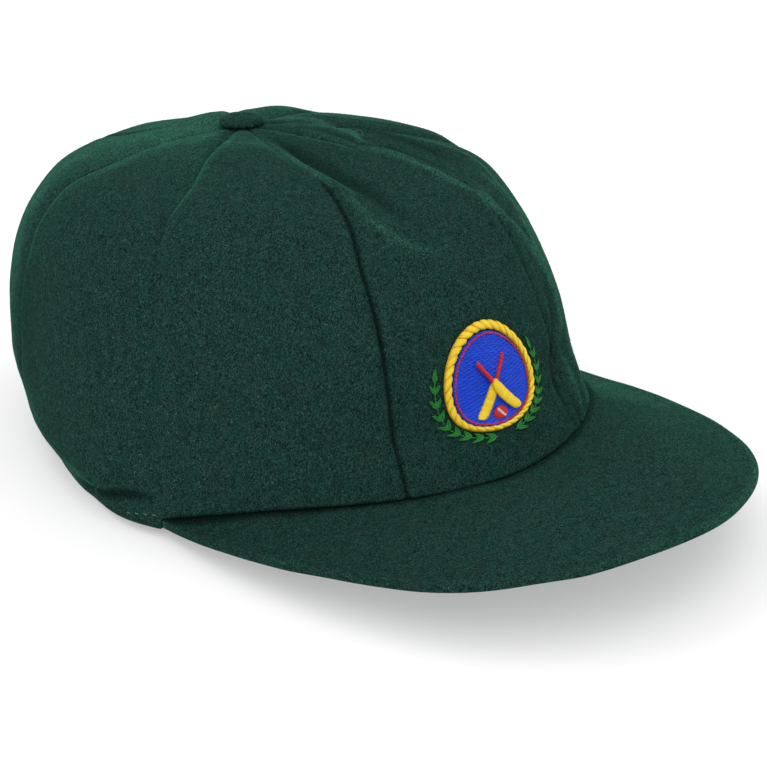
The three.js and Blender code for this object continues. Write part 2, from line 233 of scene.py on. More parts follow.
def ripples(points: np.ndarray, longest: float, shortest: float, seed: int, waves: int = 18) -> np.ndarray:
    """Soft unevenness of a surface, between about -1 and 1.

    Args:
        points: places, in metres.
        longest: the longest wave.
        shortest: the shortest wave.
        seed: the seed of the waves' directions.
        waves: how many waves are added up.

    Returns:
        One height for each place.
    """
    draw = np.random.default_rng(seed)
    total = np.zeros(points.shape[:-1])
    for _ in range(waves):
        length = math.exp(draw.uniform(math.log(shortest), math.log(longest)))
        way = unit(draw.normal(size=3)) * 2 * math.pi / length
        total += np.sin(points @ way + draw.uniform(0, 2 * math.pi)) * length
    return total / (waves**0.5 * (longest * shortest) ** 0.5)


class SectionTable:
    """Smooth curves through the columns of the crown's sections, which never overshoot a row."""

    def __init__(self, rows: Sequence[Section]) -> None:
        """Keep the rows' columns and work out their slopes.

        Args:
            rows: the sections, from the hem to the top.
        """
        self.rise = np.array([row.rise for row in rows])
        names = ("up", "front", "side", "back", "lean", "puff")
        self.columns = {name: np.array([getattr(row, name) for row in rows]) for name in names}
        self.slopes = {name: self._slopes(column) for name, column in self.columns.items()}

    def _slopes(self, column: np.ndarray) -> np.ndarray:
        """Work out the slope at each row, flat where the column turns.

        Args:
            column: one column's values.

        Returns:
            The slopes.
        """
        steps = np.diff(column) / np.diff(self.rise)
        slopes = np.empty_like(column)
        slopes[0], slopes[-1] = steps[0], steps[-1]
        before, after = steps[:-1], steps[1:]
        product = before * after
        total = np.where(product > 0, before + after, 1)
        slopes[1:-1] = np.where(product > 0, 2 * product / total, 0)
        return slopes

    def read(self, name: str, rise: np.ndarray) -> np.ndarray:
        """Read a column at any rise.

        Args:
            name: the column.
            rise: where to read it.

        Returns:
            The values there.
        """
        rise = np.asarray(rise, float)
        column, slopes = self.columns[name], self.slopes[name]
        i = np.clip(np.searchsorted(self.rise, rise, side="left") - 1, 0, len(self.rise) - 2)
        span = self.rise[i + 1] - self.rise[i]
        t = (rise - self.rise[i]) / span
        change = column[i + 1] - column[i]
        leaving, arriving = slopes[i] * span, slopes[i + 1] * span
        bend = leaving + arriving - 2 * change
        return column[i] + t * (leaving + t * (change - leaving - bend + t * bend))


@dataclass
class CapForm:
    """The form that the cap's cloth pieces share: the crown's surface and the peak's top face."""

    panels: int = 8
    hem_front: float = 104.7 * MM
    hem_side: float = 88.9 * MM
    back_reach: float = 116 * MM
    crown_height: float = 95.8 * MM
    top_lean: float = 24 * MM
    puff: float = 2.3 * MM
    puff_roundness: float = 2.4
    wall: float = 2 * MM
    tuck: float = 5.4 * MM
    tuck_start: float = 70.2
    tuck_spread: float = 19
    tuck_fold_rise: float = 0.005
    tuck_end_rise: float = 0.0725
    drop_angle: float = 0.9
    tail: float = 0.4
    tail_angle: float = 32
    blend_rise: float = 0.31
    corner_height: float = 6 * MM
    peak_tilt: float = 5.6
    peak_arch: float = 4.6 * MM
    saddle: float = 4.1 * MM
    saddle_dip: float = 1 * MM
    saddle_skew: float = 1.6
    saddle_fade: float = 2
    peak_panels: int = 3
    seat_gap: float = 0.3 * MM
    slack: float = 0.16 * MM
    slack_waves: tuple[float, float] = (40 * MM, 9 * MM)
    slack_seed: int = 4
    crease_steps: int = 12
    crease_taper: float = 0.7
    # How strongly a crease's height paints sheen on ridges and shade in valleys.
    crease_shine: float = 1.5
    top_fade: float = 0.12
    seam_low: float = 0.35
    seam_climb: float = 0.3
    ridge_fade: float = 0.1
    ridge_hides: float = 0.9
    strip_half: float = 3.6 * MM
    strip_edge: float = 2.6 * MM
    turning: float = 0.7 * MM
    turning_half: float = 7 * MM
    turning_edge: float = 0.8 * MM
    inner_gap: float = 0.5 * MM
    table: SectionTable = field(default_factory=lambda: SectionTable(SECTIONS))

    def __post_init__(self) -> None:
        """Work out the peak's corners and the head's middle from the sizes and the frame."""
        low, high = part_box("button")
        self.middle = np.array([(low.x + high.x) / 2, (low.y + high.y) / 2 - self.top_lean, 0])
        self.panel_angle = 360 / self.panels
        self.corner_angle = self.panel_angle * self.peak_panels / 2
        self.corner_x = self.hem_side * math.sin(math.radians(self.corner_angle))
        self.corner_y = -self.hem_front * math.cos(math.radians(self.corner_angle))

    def peak_top(self, x: np.ndarray, y: np.ndarray) -> np.ndarray:
        """Height of the peak's top face.

        Args:
            x: places across, from the head's middle.
            y: places along, from the head's middle.

        Returns:
            The heights.
        """
        forward = (self.corner_y - y) * math.tan(math.radians(self.peak_tilt))
        return self.corner_height + forward + self.peak_arch * (1 - (x / self.corner_x) ** 2)

    def saddle_at(self, angle: np.ndarray) -> np.ndarray:
        """How much higher the peak stands along the hem, where it is bent up over the temples.

        Args:
            angle: angles round the head.

        Returns:
            The heights.
        """
        share = np.minimum(np.abs(angle) / self.corner_angle, 1)
        return self.saddle * np.sin(np.pi * share**self.saddle_skew) - self.saddle_dip * (1 - share**2)

    def hem_height(self, angle: np.ndarray) -> np.ndarray:
        """Height of the hem's lower edge, on the peak in front and down to the ground behind its corners.

        Args:
            angle: angles round the head.

        Returns:
            The heights.
        """
        turn = np.radians(angle)
        beyond = np.abs(angle) - self.corner_angle
        drop, tail = 1 - smooth(beyond / self.drop_angle), 1 - smooth(beyond / self.tail_angle)
        behind = (self.corner_height + self.seat_gap) * ((1 - self.tail) * drop + self.tail * tail)
        front = self.peak_top(self.hem_side * np.sin(turn), -self.hem_front * np.cos(turn))
        return np.where(beyond > 0, behind, front + self.saddle_at(angle) + self.seat_gap)

    def seam_form(self, angle: np.ndarray, rise: np.ndarray) -> np.ndarray:
        """The crown along its seams, before the gores puff out between them.

        Args:
            angle: angles round the head.
            rise: rises up the cloth.

        Returns:
            Points of the form.
        """
        angle, rise = np.broadcast_arrays(wrapped(angle), np.asarray(rise, float))
        sin, cos = np.sin(np.radians(angle)), np.cos(np.radians(angle))
        side = self.hem_side * self.table.read("side", rise)
        front = self.hem_front * self.table.read("front", rise)
        depth = np.where(cos > 0, front, self.back_reach * self.table.read("back", rise))
        outwards = unit(np.stack([depth * sin, -side * cos], -1) + 1e-15)
        round_share = smooth((np.abs(angle) - self.tuck_start) / self.tuck_spread)
        fold = (rise - self.tuck_fold_rise) / (self.tuck_end_rise - self.tuck_fold_rise)
        tuck = self.tuck * round_share * (1 - smooth(fold))
        climb = self.hem_height(angle) * np.maximum(0, 1 - rise / self.blend_rise) ** 2
        x = side * sin - tuck * outwards[..., 0]
        y = -depth * cos + self.top_lean * self.table.read("lean", rise) - tuck * outwards[..., 1]
        z = self.crown_height * self.table.read("up", rise) + climb
        return np.stack([x, y, z], -1) + self.middle

    def out_of_cloth(self, angle: np.ndarray, rise: np.ndarray) -> np.ndarray:
        """Directions out of the cloth, level at the hem's lower edge.

        Args:
            angle: angles round the head.
            rise: rises up the cloth.

        Returns:
            Unit vectors.
        """
        turn, step = 1.0, 0.004
        lowest = np.maximum(rise - step, 0)
        east = self.seam_form(angle + turn, rise) - self.seam_form(angle - turn, rise)
        north = self.seam_form(angle, lowest + 2 * step) - self.seam_form(angle, lowest)
        out = unit(np.cross(east, north))
        out[..., 2] *= smooth(rise / self.tuck_fold_rise)
        return unit(out)

    def from_seam(self, angle: np.ndarray) -> np.ndarray:
        """Share of the way from a gore's middle, at 0, to its seams, at 1."""
        return np.abs((((angle + 360) / self.panel_angle + 0.5) % 1) - 0.5) * 2

    def climb_at(self, angle: float, rise: float) -> float:
        """Length of cloth in a whole rise, as it is round one place."""
        step = 0.05
        reach = self.seam_form(angle, rise + step) - self.seam_form(angle, rise - step)
        return float(np.linalg.norm(reach)) / (2 * step)

    def bell(self, fold: Fold, angle: np.ndarray, rise: np.ndarray) -> np.ndarray:
        """One fold's bell curve over the cloth.

        Args:
            fold: the fold.
            angle: angles round the head.
            rise: rises up the cloth.

        Returns:
            The heights, or the shares of shine, in the fold's own unit.
        """
        girth = self.hem_side * self.table.read("side", fold.rise)
        east = np.radians(wrapped(angle - fold.angle)) * girth
        north = (rise - fold.rise) * self.climb_at(fold.angle, fold.rise)
        sin, cos = math.sin(math.radians(fold.turn)), math.cos(math.radians(fold.turn))
        length = (east * sin + north * cos) / (fold.along * self.hem_side)
        width = (east * cos - north * sin) / (fold.across * self.hem_side)
        return fold.out * np.exp(-(length**2) - width**2)

    def swell(self, angle: np.ndarray, rise: np.ndarray) -> np.ndarray:
        """How far the cloth stands out of the seams' form, by the gores' puff and the folds.

        Args:
            angle: angles round the head.
            rise: rises up the cloth.

        Returns:
            The heights out of the cloth.
        """
        puff = self.puff * self.table.read("puff", rise) * (1 - self.from_seam(angle) ** self.puff_roundness)
        return puff + self.hem_side * sum(self.bell(fold, angle, rise) for fold in FOLDS)

    def crease_share(self, crease: Crease, points: np.ndarray) -> np.ndarray:
        """How much of one crease's full height there is at each point.

        Args:
            crease: the crease.
            points: points of the cloth.

        Returns:
            The shares, from 0 to 1.
        """
        knots = np.array(crease.line, float)
        share = np.linspace(0, 1, self.crease_steps * len(knots))
        at = share * (len(knots) - 1)
        angle = np.interp(at, np.arange(len(knots)), knots[:, 0])
        rise = np.interp(at, np.arange(len(knots)), knots[:, 1])
        line = self.seam_form(angle, rise) + self.out_of_cloth(angle, rise) * self.swell(angle, rise)[:, None]
        flat = points.reshape(-1, 3)
        nearest = np.full(len(flat), 1e9)
        place = np.zeros(len(flat))
        for spot, along in zip(line, share):
            away = np.linalg.norm(flat - spot, axis=1)
            closer = away < nearest
            nearest[closer] = away[closer]
            place[closer] = along
        fade = np.sin(np.pi * np.clip(place, 0.001, 0.999)) ** self.crease_taper
        return (fade * np.exp(-((nearest / crease.width) ** 2))).reshape(points.shape[:-1])

    def glow(self, angle: np.ndarray, rise: np.ndarray, points: np.ndarray) -> np.ndarray:
        """How much painted sheen the ridges and the painted patches take, and how much painted shade the hollows take.

        Args:
            angle: angles round the head.
            rise: rises up the cloth.
            points: the cloth's points there.

        Returns:
            The shares, from -1 to 1.
        """
        # Painted sheen and painted shade from the patches, and from the creases' heights.
        painted_patches = sum(self.bell(shine, angle, rise) for shine in PAINTED_SHEEN_AND_SHADE)
        creased = sum(crease.out / MM * self.crease_share(crease, points) for crease in CREASES)
        return np.clip(painted_patches + self.crease_shine * creased, -1, 1)

    def unevenness(self, points: np.ndarray) -> np.ndarray:
        """Heights of the cloth's soft slack at points of it."""
        return self.slack * ripples(points, *self.slack_waves, seed=self.slack_seed)

    def detail(self, angle: np.ndarray, rise: np.ndarray, points: np.ndarray) -> np.ndarray:
        """Fine relief of the outer cloth: creases, seam grooves and strips, and slack.

        Args:
            angle: angles round the head.
            rise: rises up the cloth.
            points: the cloth's points there.

        Returns:
            The heights out of the cloth.
        """
        total = self.unevenness(points)
        for crease in CREASES:
            total = total + crease.out * self.crease_share(crease, points)
        girth = self.hem_side * self.table.read("side", rise)
        top = smooth((1 - rise) / self.top_fade)
        for seam in SEAMS:
            away = np.abs(np.radians(wrapped(angle - seam.angle - seam.lean * (rise - self.seam_low)))) * girth
            kept = seam.low_share + (1 - seam.low_share) * smooth((rise - self.seam_low) / self.seam_climb)
            kept = kept * (1 - self.ridge_hides * smooth((rise - seam.end_rise) / self.ridge_fade))
            strip = seam.strip * (1 - smooth((away - self.strip_half) / self.strip_edge))
            groove = (seam.depth + seam.strip) * np.exp(-((away / seam.width) ** 2))
            total = total + top * kept * (strip - groove)
        return total

    def cloth(self, angle: np.ndarray, rise: np.ndarray, lift: np.ndarray) -> np.ndarray:
        """Points of the crown as the cloth lies, with its fine relief.

        Args:
            angle: angles round the head.
            rise: rises up the cloth.
            lift: heights out of the cloth's outer face.

        Returns:
            The points.
        """
        form = self.seam_form(angle, rise)
        out = self.out_of_cloth(angle, rise)
        rough = form + out * self.swell(angle, rise)[..., None]
        return rough + out * (self.detail(angle, rise, rough) + lift)[..., None]

    def ground(self, angle: np.ndarray, rise: np.ndarray, lift: np.ndarray) -> np.ndarray:
        """Points of the crown without its creases and seams, to lay the badge on.

        Args:
            angle: angles round the head.
            rise: rises up the cloth.
            lift: heights out of the cloth's outer face.

        Returns:
            The points.
        """
        form = self.seam_form(angle, rise)
        height = self.swell(angle, rise) + self.unevenness(form) + lift
        return form + self.out_of_cloth(angle, rise) * height[..., None]

    def wrong_side(self, angle: np.ndarray, rise: np.ndarray) -> np.ndarray:
        """Points of the crown's inner face, with the seams' turnings pressed open on it.

        Args:
            angle: angles round the head.
            rise: rises up the cloth.

        Returns:
            The points.
        """
        girth = self.hem_side * self.table.read("side", rise)
        away = (1 - self.from_seam(angle)) * math.radians(self.panel_angle / 2) * girth
        turning = self.turning * (1 - smooth((away - self.turning_half) / self.turning_edge))
        out = self.out_of_cloth(angle, rise)
        depth = self.swell(angle, rise) - self.wall + self.inner_gap - turning
        return self.seam_form(angle, rise) + out * depth[..., None]


Number = Union[float, "Value"]


class Value:
    """A number or a colour in a material, which Python's operators extend with Math nodes."""

    def __init__(self, finish: "Finish", socket: bpy.types.NodeSocket) -> None:
        """Wrap a socket.

        Args:
            finish: the finish whose nodes it belongs to.
            socket: the output socket.
        """
        self.finish = finish
        self.socket = socket

    def _maths(self, operation: str, first: Number, second: Number) -> "Value":
        """Add one Math node."""
        node = self.finish.add("ShaderNodeMath", {"operation": operation}, {0: first, 1: second})
        return Value(self.finish, node.outputs[0])

    def __add__(self, other: Number) -> "Value":
        """Add."""
        return self._maths("ADD", self, other)

    __radd__ = __add__

    def __sub__(self, other: Number) -> "Value":
        """Take away."""
        return self._maths("SUBTRACT", self, other)

    def __rsub__(self, other: Number) -> "Value":
        """Take away from a number."""
        return self._maths("SUBTRACT", other, self)

    def __mul__(self, other: Number) -> "Value":
        """Multiply."""
        return self._maths("MULTIPLY", self, other)

    __rmul__ = __mul__

    def between(self, low: Number, high: Number) -> "Value":
        """Ease from 0 at low to 1 at high.

        Args:
            low: the value that gives 0.
            high: the value that gives 1.

        Returns:
            The eased share.
        """
        settings = {"interpolation_type": "SMOOTHSTEP"}
        node = self.finish.add("ShaderNodeMapRange", settings, {0: self, 1: low, 2: high})
        return Value(self.finish, node.outputs[0])


Colour = Union[tuple[float, float, float], Value]


def linear(red: int, green: int, blue: int) -> tuple[float, float, float]:
    """Turn a screen colour into the light it stands for.

    Args:
        red: red, 0 to 255.
        green: green, 0 to 255.
        blue: blue, 0 to 255.

    Returns:
        The linear colour.
    """
    shares = (red / 255, green / 255, blue / 255)
    return tuple(((s + 0.055) / 1.055) ** 2.4 if s > 0.04045 else s / 12.92 for s in shares)


class Finish:
    """A material under construction: its node tree and its Principled shader."""

    def __init__(self, name: str, constants: Mapping[str, Any]) -> None:
        """Start a material.

        Args:
            name: the material's name.
            constants: what stays the same all over it, by the names of the shader's sockets.
        """
        self.material = bpy.data.materials.new(name)
        self.material.use_nodes = True
        self.tree = self.material.node_tree
        self.shader = self.tree.nodes["Principled BSDF"]
        for key, value in constants.items():
            self.set(key, value)

    def set(self, socket: str, value: Union[Number, Colour]) -> None:
        """Give a socket of the Principled shader its value or link."""
        self._fill(self.shader.inputs[socket], value)

    def _fill(self, socket: bpy.types.NodeSocket, value: Union[Number, Colour]) -> None:
        """Give any socket its value or link."""
        if isinstance(value, Value):
            self.tree.links.new(value.socket, socket)
        elif isinstance(value, tuple) and socket.type == "RGBA":
            socket.default_value = (*value, 1)
        else:
            socket.default_value = value

    def add(self, kind: str, settings: Mapping[str, Any], inputs: Mapping[Any, Any]) -> bpy.types.Node:
        """Add a node of any type.

        Args:
            kind: the node's type.
            settings: its settings, which are made first.
            inputs: values or links of its sockets, by name or number.

        Returns:
            The node.
        """
        node = self.tree.nodes.new(kind)
        for key, value in settings.items():
            setattr(node, key, value)
        for key, value in inputs.items():
            self._fill(node.inputs[key], value)
        return node

    def place(self, scale: tuple[float, float, float] = (1, 1, 1), turn: tuple[int, int, int] = (0, 0, 0)) -> Value:
        """Places in the part, in millimetres.

        Args:
            scale: how much finer the grain is along each axis.
            turn: turns about the axes, in degrees.

        Returns:
            The places.
        """
        spot = Value(self, self.add("ShaderNodeTexCoord", {}, {}).outputs["Object"])
        turned = {"Vector": spot, "Rotation": tuple(math.radians(t) for t in turn)}
        spot = Value(self, self.add("ShaderNodeMapping", {}, turned).outputs[0])
        scaled = {"Vector": spot, "Scale": tuple(s / MM for s in scale)}
        return Value(self, self.add("ShaderNodeMapping", {}, scaled).outputs[0])

    def noise(self, place: Value, scale: float, detail: float = 3, roughness: float = 0.55) -> Value:
        """Noise over the part.

        Args:
            place: places in millimetres.
            scale: how many features there are in a millimetre.
            detail: how many finer layers are added.
            roughness: how strong those are.

        Returns:
            The noise, about 0.5.
        """
        inputs = {"Vector": place, "Scale": scale, "Detail": detail, "Roughness": roughness}
        return Value(self, self.add("ShaderNodeTexNoise", {}, inputs).outputs[0])

    def facing(self) -> Value:
        """How far the surface turns away from the eye, 0 to 1, for a painted sheen of fibres in the colour."""
        return Value(self, self.add("ShaderNodeLayerWeight", {}, {}).outputs["Facing"])

    def relief(self, name: str) -> Value:
        """A mesh's own number at each point."""
        node = self.add("ShaderNodeAttribute", {"attribute_name": name}, {})
        return Value(self, node.outputs["Fac"])

    def mix(self, share: Number, first: Colour, second: Colour) -> Value:
        """Mix two colours.

        Args:
            share: how much of the second there is.
            first: the first colour.
            second: the second colour.

        Returns:
            The mixed colour.
        """
        node = self.add("ShaderNodeMix", {"data_type": "RGBA"}, {0: share, 6: first, 7: second})
        return Value(self, node.outputs[2])

    def bump(self, height: Value, distance: float, strength: float = 1) -> None:
        """Raise the surface's fine relief.

        Args:
            height: the relief, 0 to 1.
            distance: its depth in metres.
            strength: how much of it shows.
        """
        inputs = {"Height": height, "Distance": distance, "Strength": strength}
        self.set("Normal", Value(self, self.add("ShaderNodeBump", {}, inputs).outputs[0]))


@dataclass(frozen=True)
class Wool:
    """Milled wool: pale fibres on a dark ground, with a painted green sheen on ridges and edge-on, painted shade in
    hollows.
    """

    shade: tuple[float, float, float] = linear(12, 27, 25)
    nap: tuple[float, float, float] = linear(44, 79, 72)
    # Painted sheen: lit copies of the ground and fibre colours.
    lit_shade: tuple[float, float, float] = linear(22, 54, 45)
    lit_nap: tuple[float, float, float] = linear(62, 116, 98)
    green: tuple[float, float, float] = linear(22, 60, 50)
    brown: tuple[float, float, float] = linear(38, 50, 46)
    fibre: tuple[float, float, float] = linear(92, 122, 110)
    # The colour of painted shade in grooves, hollows and along the hem by the peak.
    groove: tuple[float, float, float] = linear(8, 18, 17)
    sheen: float = 0.05
    sheen_roughness: float = 0.24
    sheen_tint: tuple[float, float, float] = (0.3, 1.0, 0.66)
    middle: float = 0.52
    spread: float = 0.114
    spread_edge_on: float = 0.055
    shine: float = 0.95
    brown_share: float = 0.3
    green_share: float = 0.35
    stray_share: float = 0.38
    # Shares of painted highlight on ridges, painted shade in grooves and painted shade in hollows.
    painted_ridge_highlight: float = 0.2
    painted_groove_shade: float = 0.7
    painted_hollow_shade: float = 0.5
    nap_depth: float = 0.7 * MM
    nap_strength: float = 0.9

    def make(self) -> bpy.types.Material:
        """Build the material."""
        sheen = {"Sheen Weight": self.sheen, "Sheen Roughness": self.sheen_roughness, "Sheen Tint": self.sheen_tint}
        finish = Finish("wool", {"Roughness": 1, "Specular IOR Level": 0, **sheen})
        place = finish.place()
        fine = finish.noise(place, 3.3, 2, 0.7)
        grain = finish.noise(place, 1.3, 1, 0.5)
        tufts = finish.noise(place, 0.45, 2, 0.5)
        clouds = finish.noise(place, 0.16, 3, 0.6)
        upright = finish.noise(finish.place((3.2, 3.2, 0.9), (0, 18, 0)), 1, 1, 0.5)
        slanting = finish.noise(finish.place((3.2, 3.2, 1.0), (12, -30, 0)), 1, 1, 0.5)
        mottle = fine * 0.45 + grain * 0.13 + upright * 0.17 + slanting * 0.17 + tufts * 0.08
        facing = finish.facing()
        spread = self.spread - facing * self.spread_edge_on
        light = mottle.between(self.middle - spread, self.middle + spread)
        # Painted sheen: the colour turns to its lit copies on ridges, by the glow number, and where the cloth is seen
        # edge-on.
        glow = finish.relief("glow")
        lit = (glow * self.shine + facing.between(0.66, 0.98)).between(0, 1)
        colour = finish.mix(light, finish.mix(lit, self.shade, self.lit_shade), finish.mix(lit, self.nap, self.lit_nap))
        colour = finish.mix(clouds.between(0.5, 0.72) * self.brown_share, colour, self.brown)
        colour = finish.mix((1 - clouds).between(0.5, 0.72) * self.green_share, colour, self.green)
        stray = finish.noise(finish.place((0.8, 3.2, 1.4), (20, 0, 60)), 1.2, 1, 0.4)
        colour = finish.mix(stray.between(0.66, 0.78) * self.stray_share, colour, self.fibre)
        # Painted highlight on ridges, and painted shade in seam grooves, crease valleys and along the hem by the peak.
        ridge = finish.relief("ridge")
        colour = finish.mix(ridge.between(0.3, 1.3) * self.painted_ridge_highlight, colour, self.nap)
        colour = finish.mix((0 - ridge).between(0.15, 1.0) * self.painted_groove_shade, colour, self.groove)
        # Painted shade in hollows and on patches with a negative glow number.
        colour = finish.mix((0 - glow).between(0.05, 1) * self.painted_hollow_shade, colour, self.groove)
        finish.set("Base Color", colour)
        finish.bump(mottle, self.nap_depth, self.nap_strength)
        return finish.material


@dataclass(frozen=True)
class Thread:
    """Shiny embroidery thread, turned towards its deep colour for painted shade between the stitches and for random
    tone.
    """

    name: str
    colour: tuple[float, float, float]
    # The deep colour serves both painted shade and random tone.
    deep: tuple[float, float, float]

    def make(self) -> bpy.types.Material:
        """Build the material."""
        finish = Finish(self.name, {"Roughness": 0.5, "Specular IOR Level": 0.3})
        fine = finish.noise(finish.place(), 6, 2, 0.5)
        # The shade number is painted shade at stitch ends, undersides, rope valleys and felt, with a random tone per
        # stitch; the noise adds more tone.
        shade = finish.relief("shade") * 0.75 + (fine - 0.5) * 0.3
        finish.set("Base Color", finish.mix(shade, self.colour, self.deep))
        finish.bump(fine, 0.05 * MM, 0.5)
        return finish.material


@dataclass(frozen=True)
class Plain:
    """An even finish with a faint cloudiness, for the floor, felt and hairs."""

    name: str
    colour: tuple[float, float, float]
    roughness: float = 0.8
    glow: float = 0

    def make(self) -> bpy.types.Material:
        """Build the material."""
        light = {"Emission Color": (1.0, 1.0, 1.0), "Emission Strength": self.glow}
        finish = Finish(self.name, {"Roughness": self.roughness, "Specular IOR Level": 0.1, **light})
        clouds = finish.noise(finish.place(), 0.02, 2, 0.5)
        dimmer = tuple(0.97 * c for c in self.colour)
        finish.set("Base Color", finish.mix(clouds, self.colour, dimmer))
        return finish.material


class Palette:
    """The cap's finishes, each made once."""

    def __init__(self) -> None:
        """Make the materials."""
        self.wool = Wool().make()
        self.gold = Thread("gold_thread", linear(250, 222, 48), linear(190, 126, 14)).make()
        self.blue = Thread("blue_thread", linear(16, 76, 226), linear(6, 34, 140)).make()
        self.red = Thread("red_thread", linear(212, 34, 30), linear(116, 12, 14)).make()
        self.green = Thread("green_thread", linear(34, 132, 44), linear(12, 66, 26)).make()
        self.white = Thread("white_thread", linear(240, 240, 236), linear(160, 160, 156)).make()
        self.nap = Plain("nap_fibre", linear(58, 106, 90), 0.9).make()
        self.hair = Plain("stray_hair", linear(92, 66, 44), 0.5).make()
        self.tacking = Plain("tacking_thread", linear(96, 126, 114), 0.7).make()


def piece_from(name: str, points: np.ndarray, faces: np.ndarray, finish: bpy.types.Material) -> bpy.types.Object:
    """Make a smooth piece from points and faces.

    Args:
        name: the piece's name.
        points: its points, one to a row.
        faces: its faces, as rows of point numbers.
        finish: its material.

    Returns:
        The piece, linked to the scene.
    """
    mesh = bpy.data.meshes.new(name)
    mesh.from_pydata(points.tolist(), [], faces.tolist() if isinstance(faces, np.ndarray) else faces)
    mesh.validate()
    mesh.polygons.foreach_set("use_smooth", np.ones(len(mesh.polygons), bool))
    mesh.materials.append(finish)
    mesh.update()
    piece = bpy.data.objects.new(name, mesh)
    bpy.context.scene.collection.objects.link(piece)
    return piece


def add_number(piece: bpy.types.Object, name: str, values: np.ndarray) -> None:
    """Give a piece's mesh a number at each point.

    Args:
        piece: the piece.
        name: the number's name.
        values: one value for each point.
    """
    attribute = piece.data.attributes.new(name, "FLOAT", "POINT")
    attribute.data.foreach_set("value", values.astype(np.float32))


def settle(piece: bpy.types.Object, slot: Slot, *nodes: str) -> bpy.types.Object:
    """Make a piece ride on the cap, hide the solids that it stands for and log its triangles.

    Args:
        piece: the piece.
        slot: not used.
        nodes: the solids that it replaces.

    Returns:
        The piece.
    """
    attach(piece, BODY)
    if nodes:
        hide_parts(*nodes)
    triangles = sum(len(face.vertices) - 2 for face in piece.data.polygons)
    LOG.info("%s: %d triangles", piece.name, triangles)
    return piece


def grid_faces(rows: int, columns: int, closed_rows: bool = False, closed_columns: bool = False) -> np.ndarray:
    """Quads over a grid of points that is numbered row by row.

    Args:
        rows: the number of rows.
        columns: the number of columns.
        closed_rows: whether the last row joins the first.
        closed_columns: whether the last column joins the first.

    Returns:
        The faces.
    """
    i = np.arange(rows if closed_rows else rows - 1)
    j = np.arange(columns if closed_columns else columns - 1)
    i, j = np.meshgrid(i, j, indexing="ij")
    after_i, after_j = (i + 1) % rows, (j + 1) % columns
    corners = [i * columns + j, i * columns + after_j, after_i * columns + after_j, after_i * columns + j]
    return np.stack(corners, -1).reshape(-1, 4)


def tube_faces(rings: int, sides: int) -> list[list[int]]:
    """Faces of a tube with closed ends.

    Args:
        rings: the number of rings along it.
        sides: the number of points in a ring.

    Returns:
        The faces.
    """
    last = (rings - 1) * sides
    ends = [list(range(sides - 1, -1, -1)), list(range(last, last + sides))]
    return grid_faces(rings, sides, closed_columns=True).tolist() + ends


def shell_faces(rows: int, columns: int) -> np.ndarray:
    """Quads of a closed sheet: an outer grid, then an inner one of the same size, and the walls between.

    Args:
        rows: the number of rows.
        columns: the number of columns.

    Returns:
        The faces, all looking out.
    """
    outer = grid_faces(rows, columns)
    inner = outer[:, ::-1] + rows * columns
    first, last = np.arange(columns), (rows - 1) * columns + np.arange(columns)
    left, right = np.arange(rows) * columns, np.arange(rows) * columns + columns - 1
    walls = []
    for line, way in ((first, 1), (last, -1), (left, -1), (right, 1)):
        a, b = (line[:-1], line[1:]) if way > 0 else (line[1:], line[:-1])
        walls.append(np.stack([b, a, a + rows * columns, b + rows * columns], -1))
    return np.concatenate([outer, inner, *walls])


@dataclass
class Crown:
    """The eight gores."""

    form: CapForm
    across_steps: int = 60
    hem_steps: int = 34
    body_steps: int = 136
    hem_rise: float = 0.09
    tip_rise: float = 0.985
    crowding: float = 1.8
    edge: float = 2.4 * MM
    edge_depth: float = 1.1 * MM
    # Painted shade in a band along the hem where the crown sits on the peak.
    edge_shade: float = 3.4 * MM
    shade_strength: float = 0.8
    shade_turn: float = 3
    seam_gap: float = 0.02 * MM

    def build(self, palette: Palette) -> None:
        """Build every gore.

        Args:
            palette: the finishes.
        """
        for number in range(self.form.panels):
            self.gore(number, palette.wool)

    def rises(self) -> np.ndarray:
        """The rows' rises, close together at the hem."""
        hem = self.hem_rise * np.linspace(0, 1, self.hem_steps + 1) ** 1.25
        body = np.linspace(self.hem_rise, self.tip_rise, self.body_steps + 1)[1:]
        return np.concatenate([hem, body])

    def gore(self, number: int, wool: bpy.types.Material) -> bpy.types.Object:
        """Build one gore, with its edges turned into the seams.

        Args:
            number: which one, from the front round by the wearer's left.
            wool: its finish.

        Returns:
            The piece.
        """
        form = self.form
        steps = np.linspace(-1, 1, self.across_steps + 1)
        share = np.sign(steps) * (1 - (1 - np.abs(steps)) ** self.crowding)
        rise, share = np.meshgrid(self.rises(), share, indexing="ij")
        half = form.panel_angle / 2 - np.degrees(self.seam_gap / (form.hem_side * form.table.read("side", rise)))
        angle = number * form.panel_angle + share * half
        upright = form.crown_height * 2
        near_hem = np.clip(1 - rise * upright / self.edge, 0, 1)
        rounding = -self.edge_depth * (1 - np.sqrt(1 - near_hem**2 * 0.99))
        outer = form.cloth(angle, rise, rounding)
        inner = form.wrong_side(angle, rise)
        points = np.concatenate([outer.reshape(-1, 3), inner.reshape(-1, 3)])
        rows, columns = angle.shape
        piece = piece_from(f"gore_{number + 1}", points, shell_faces(rows, columns), wool)
        detail = form.detail(angle, rise, outer) - form.unevenness(outer)
        # Painted shade in a band along the hem where the crown sits on the peak.
        on_peak = 1 - smooth((np.abs(wrapped(angle)) - form.corner_angle + self.shade_turn) / self.shade_turn)
        shade = self.shade_strength * on_peak * (1 - smooth(rise * upright / self.edge_shade))
        # The ridge number: painted highlight on ridges, painted shade in seam grooves, crease valleys and the hem band.
        ridge = np.concatenate([(detail / MM - shade).ravel(), np.zeros(detail.size)])
        add_number(piece, "ridge", ridge)
        # The glow number: painted sheen on ridges and patches, painted shade in hollows.
        glow = form.glow(angle, rise, outer)
        add_number(piece, "glow", np.concatenate([glow.ravel(), np.zeros(glow.size)]))
        return settle(piece, Slot.WOOL, f"crown_panel_{number + 1}")


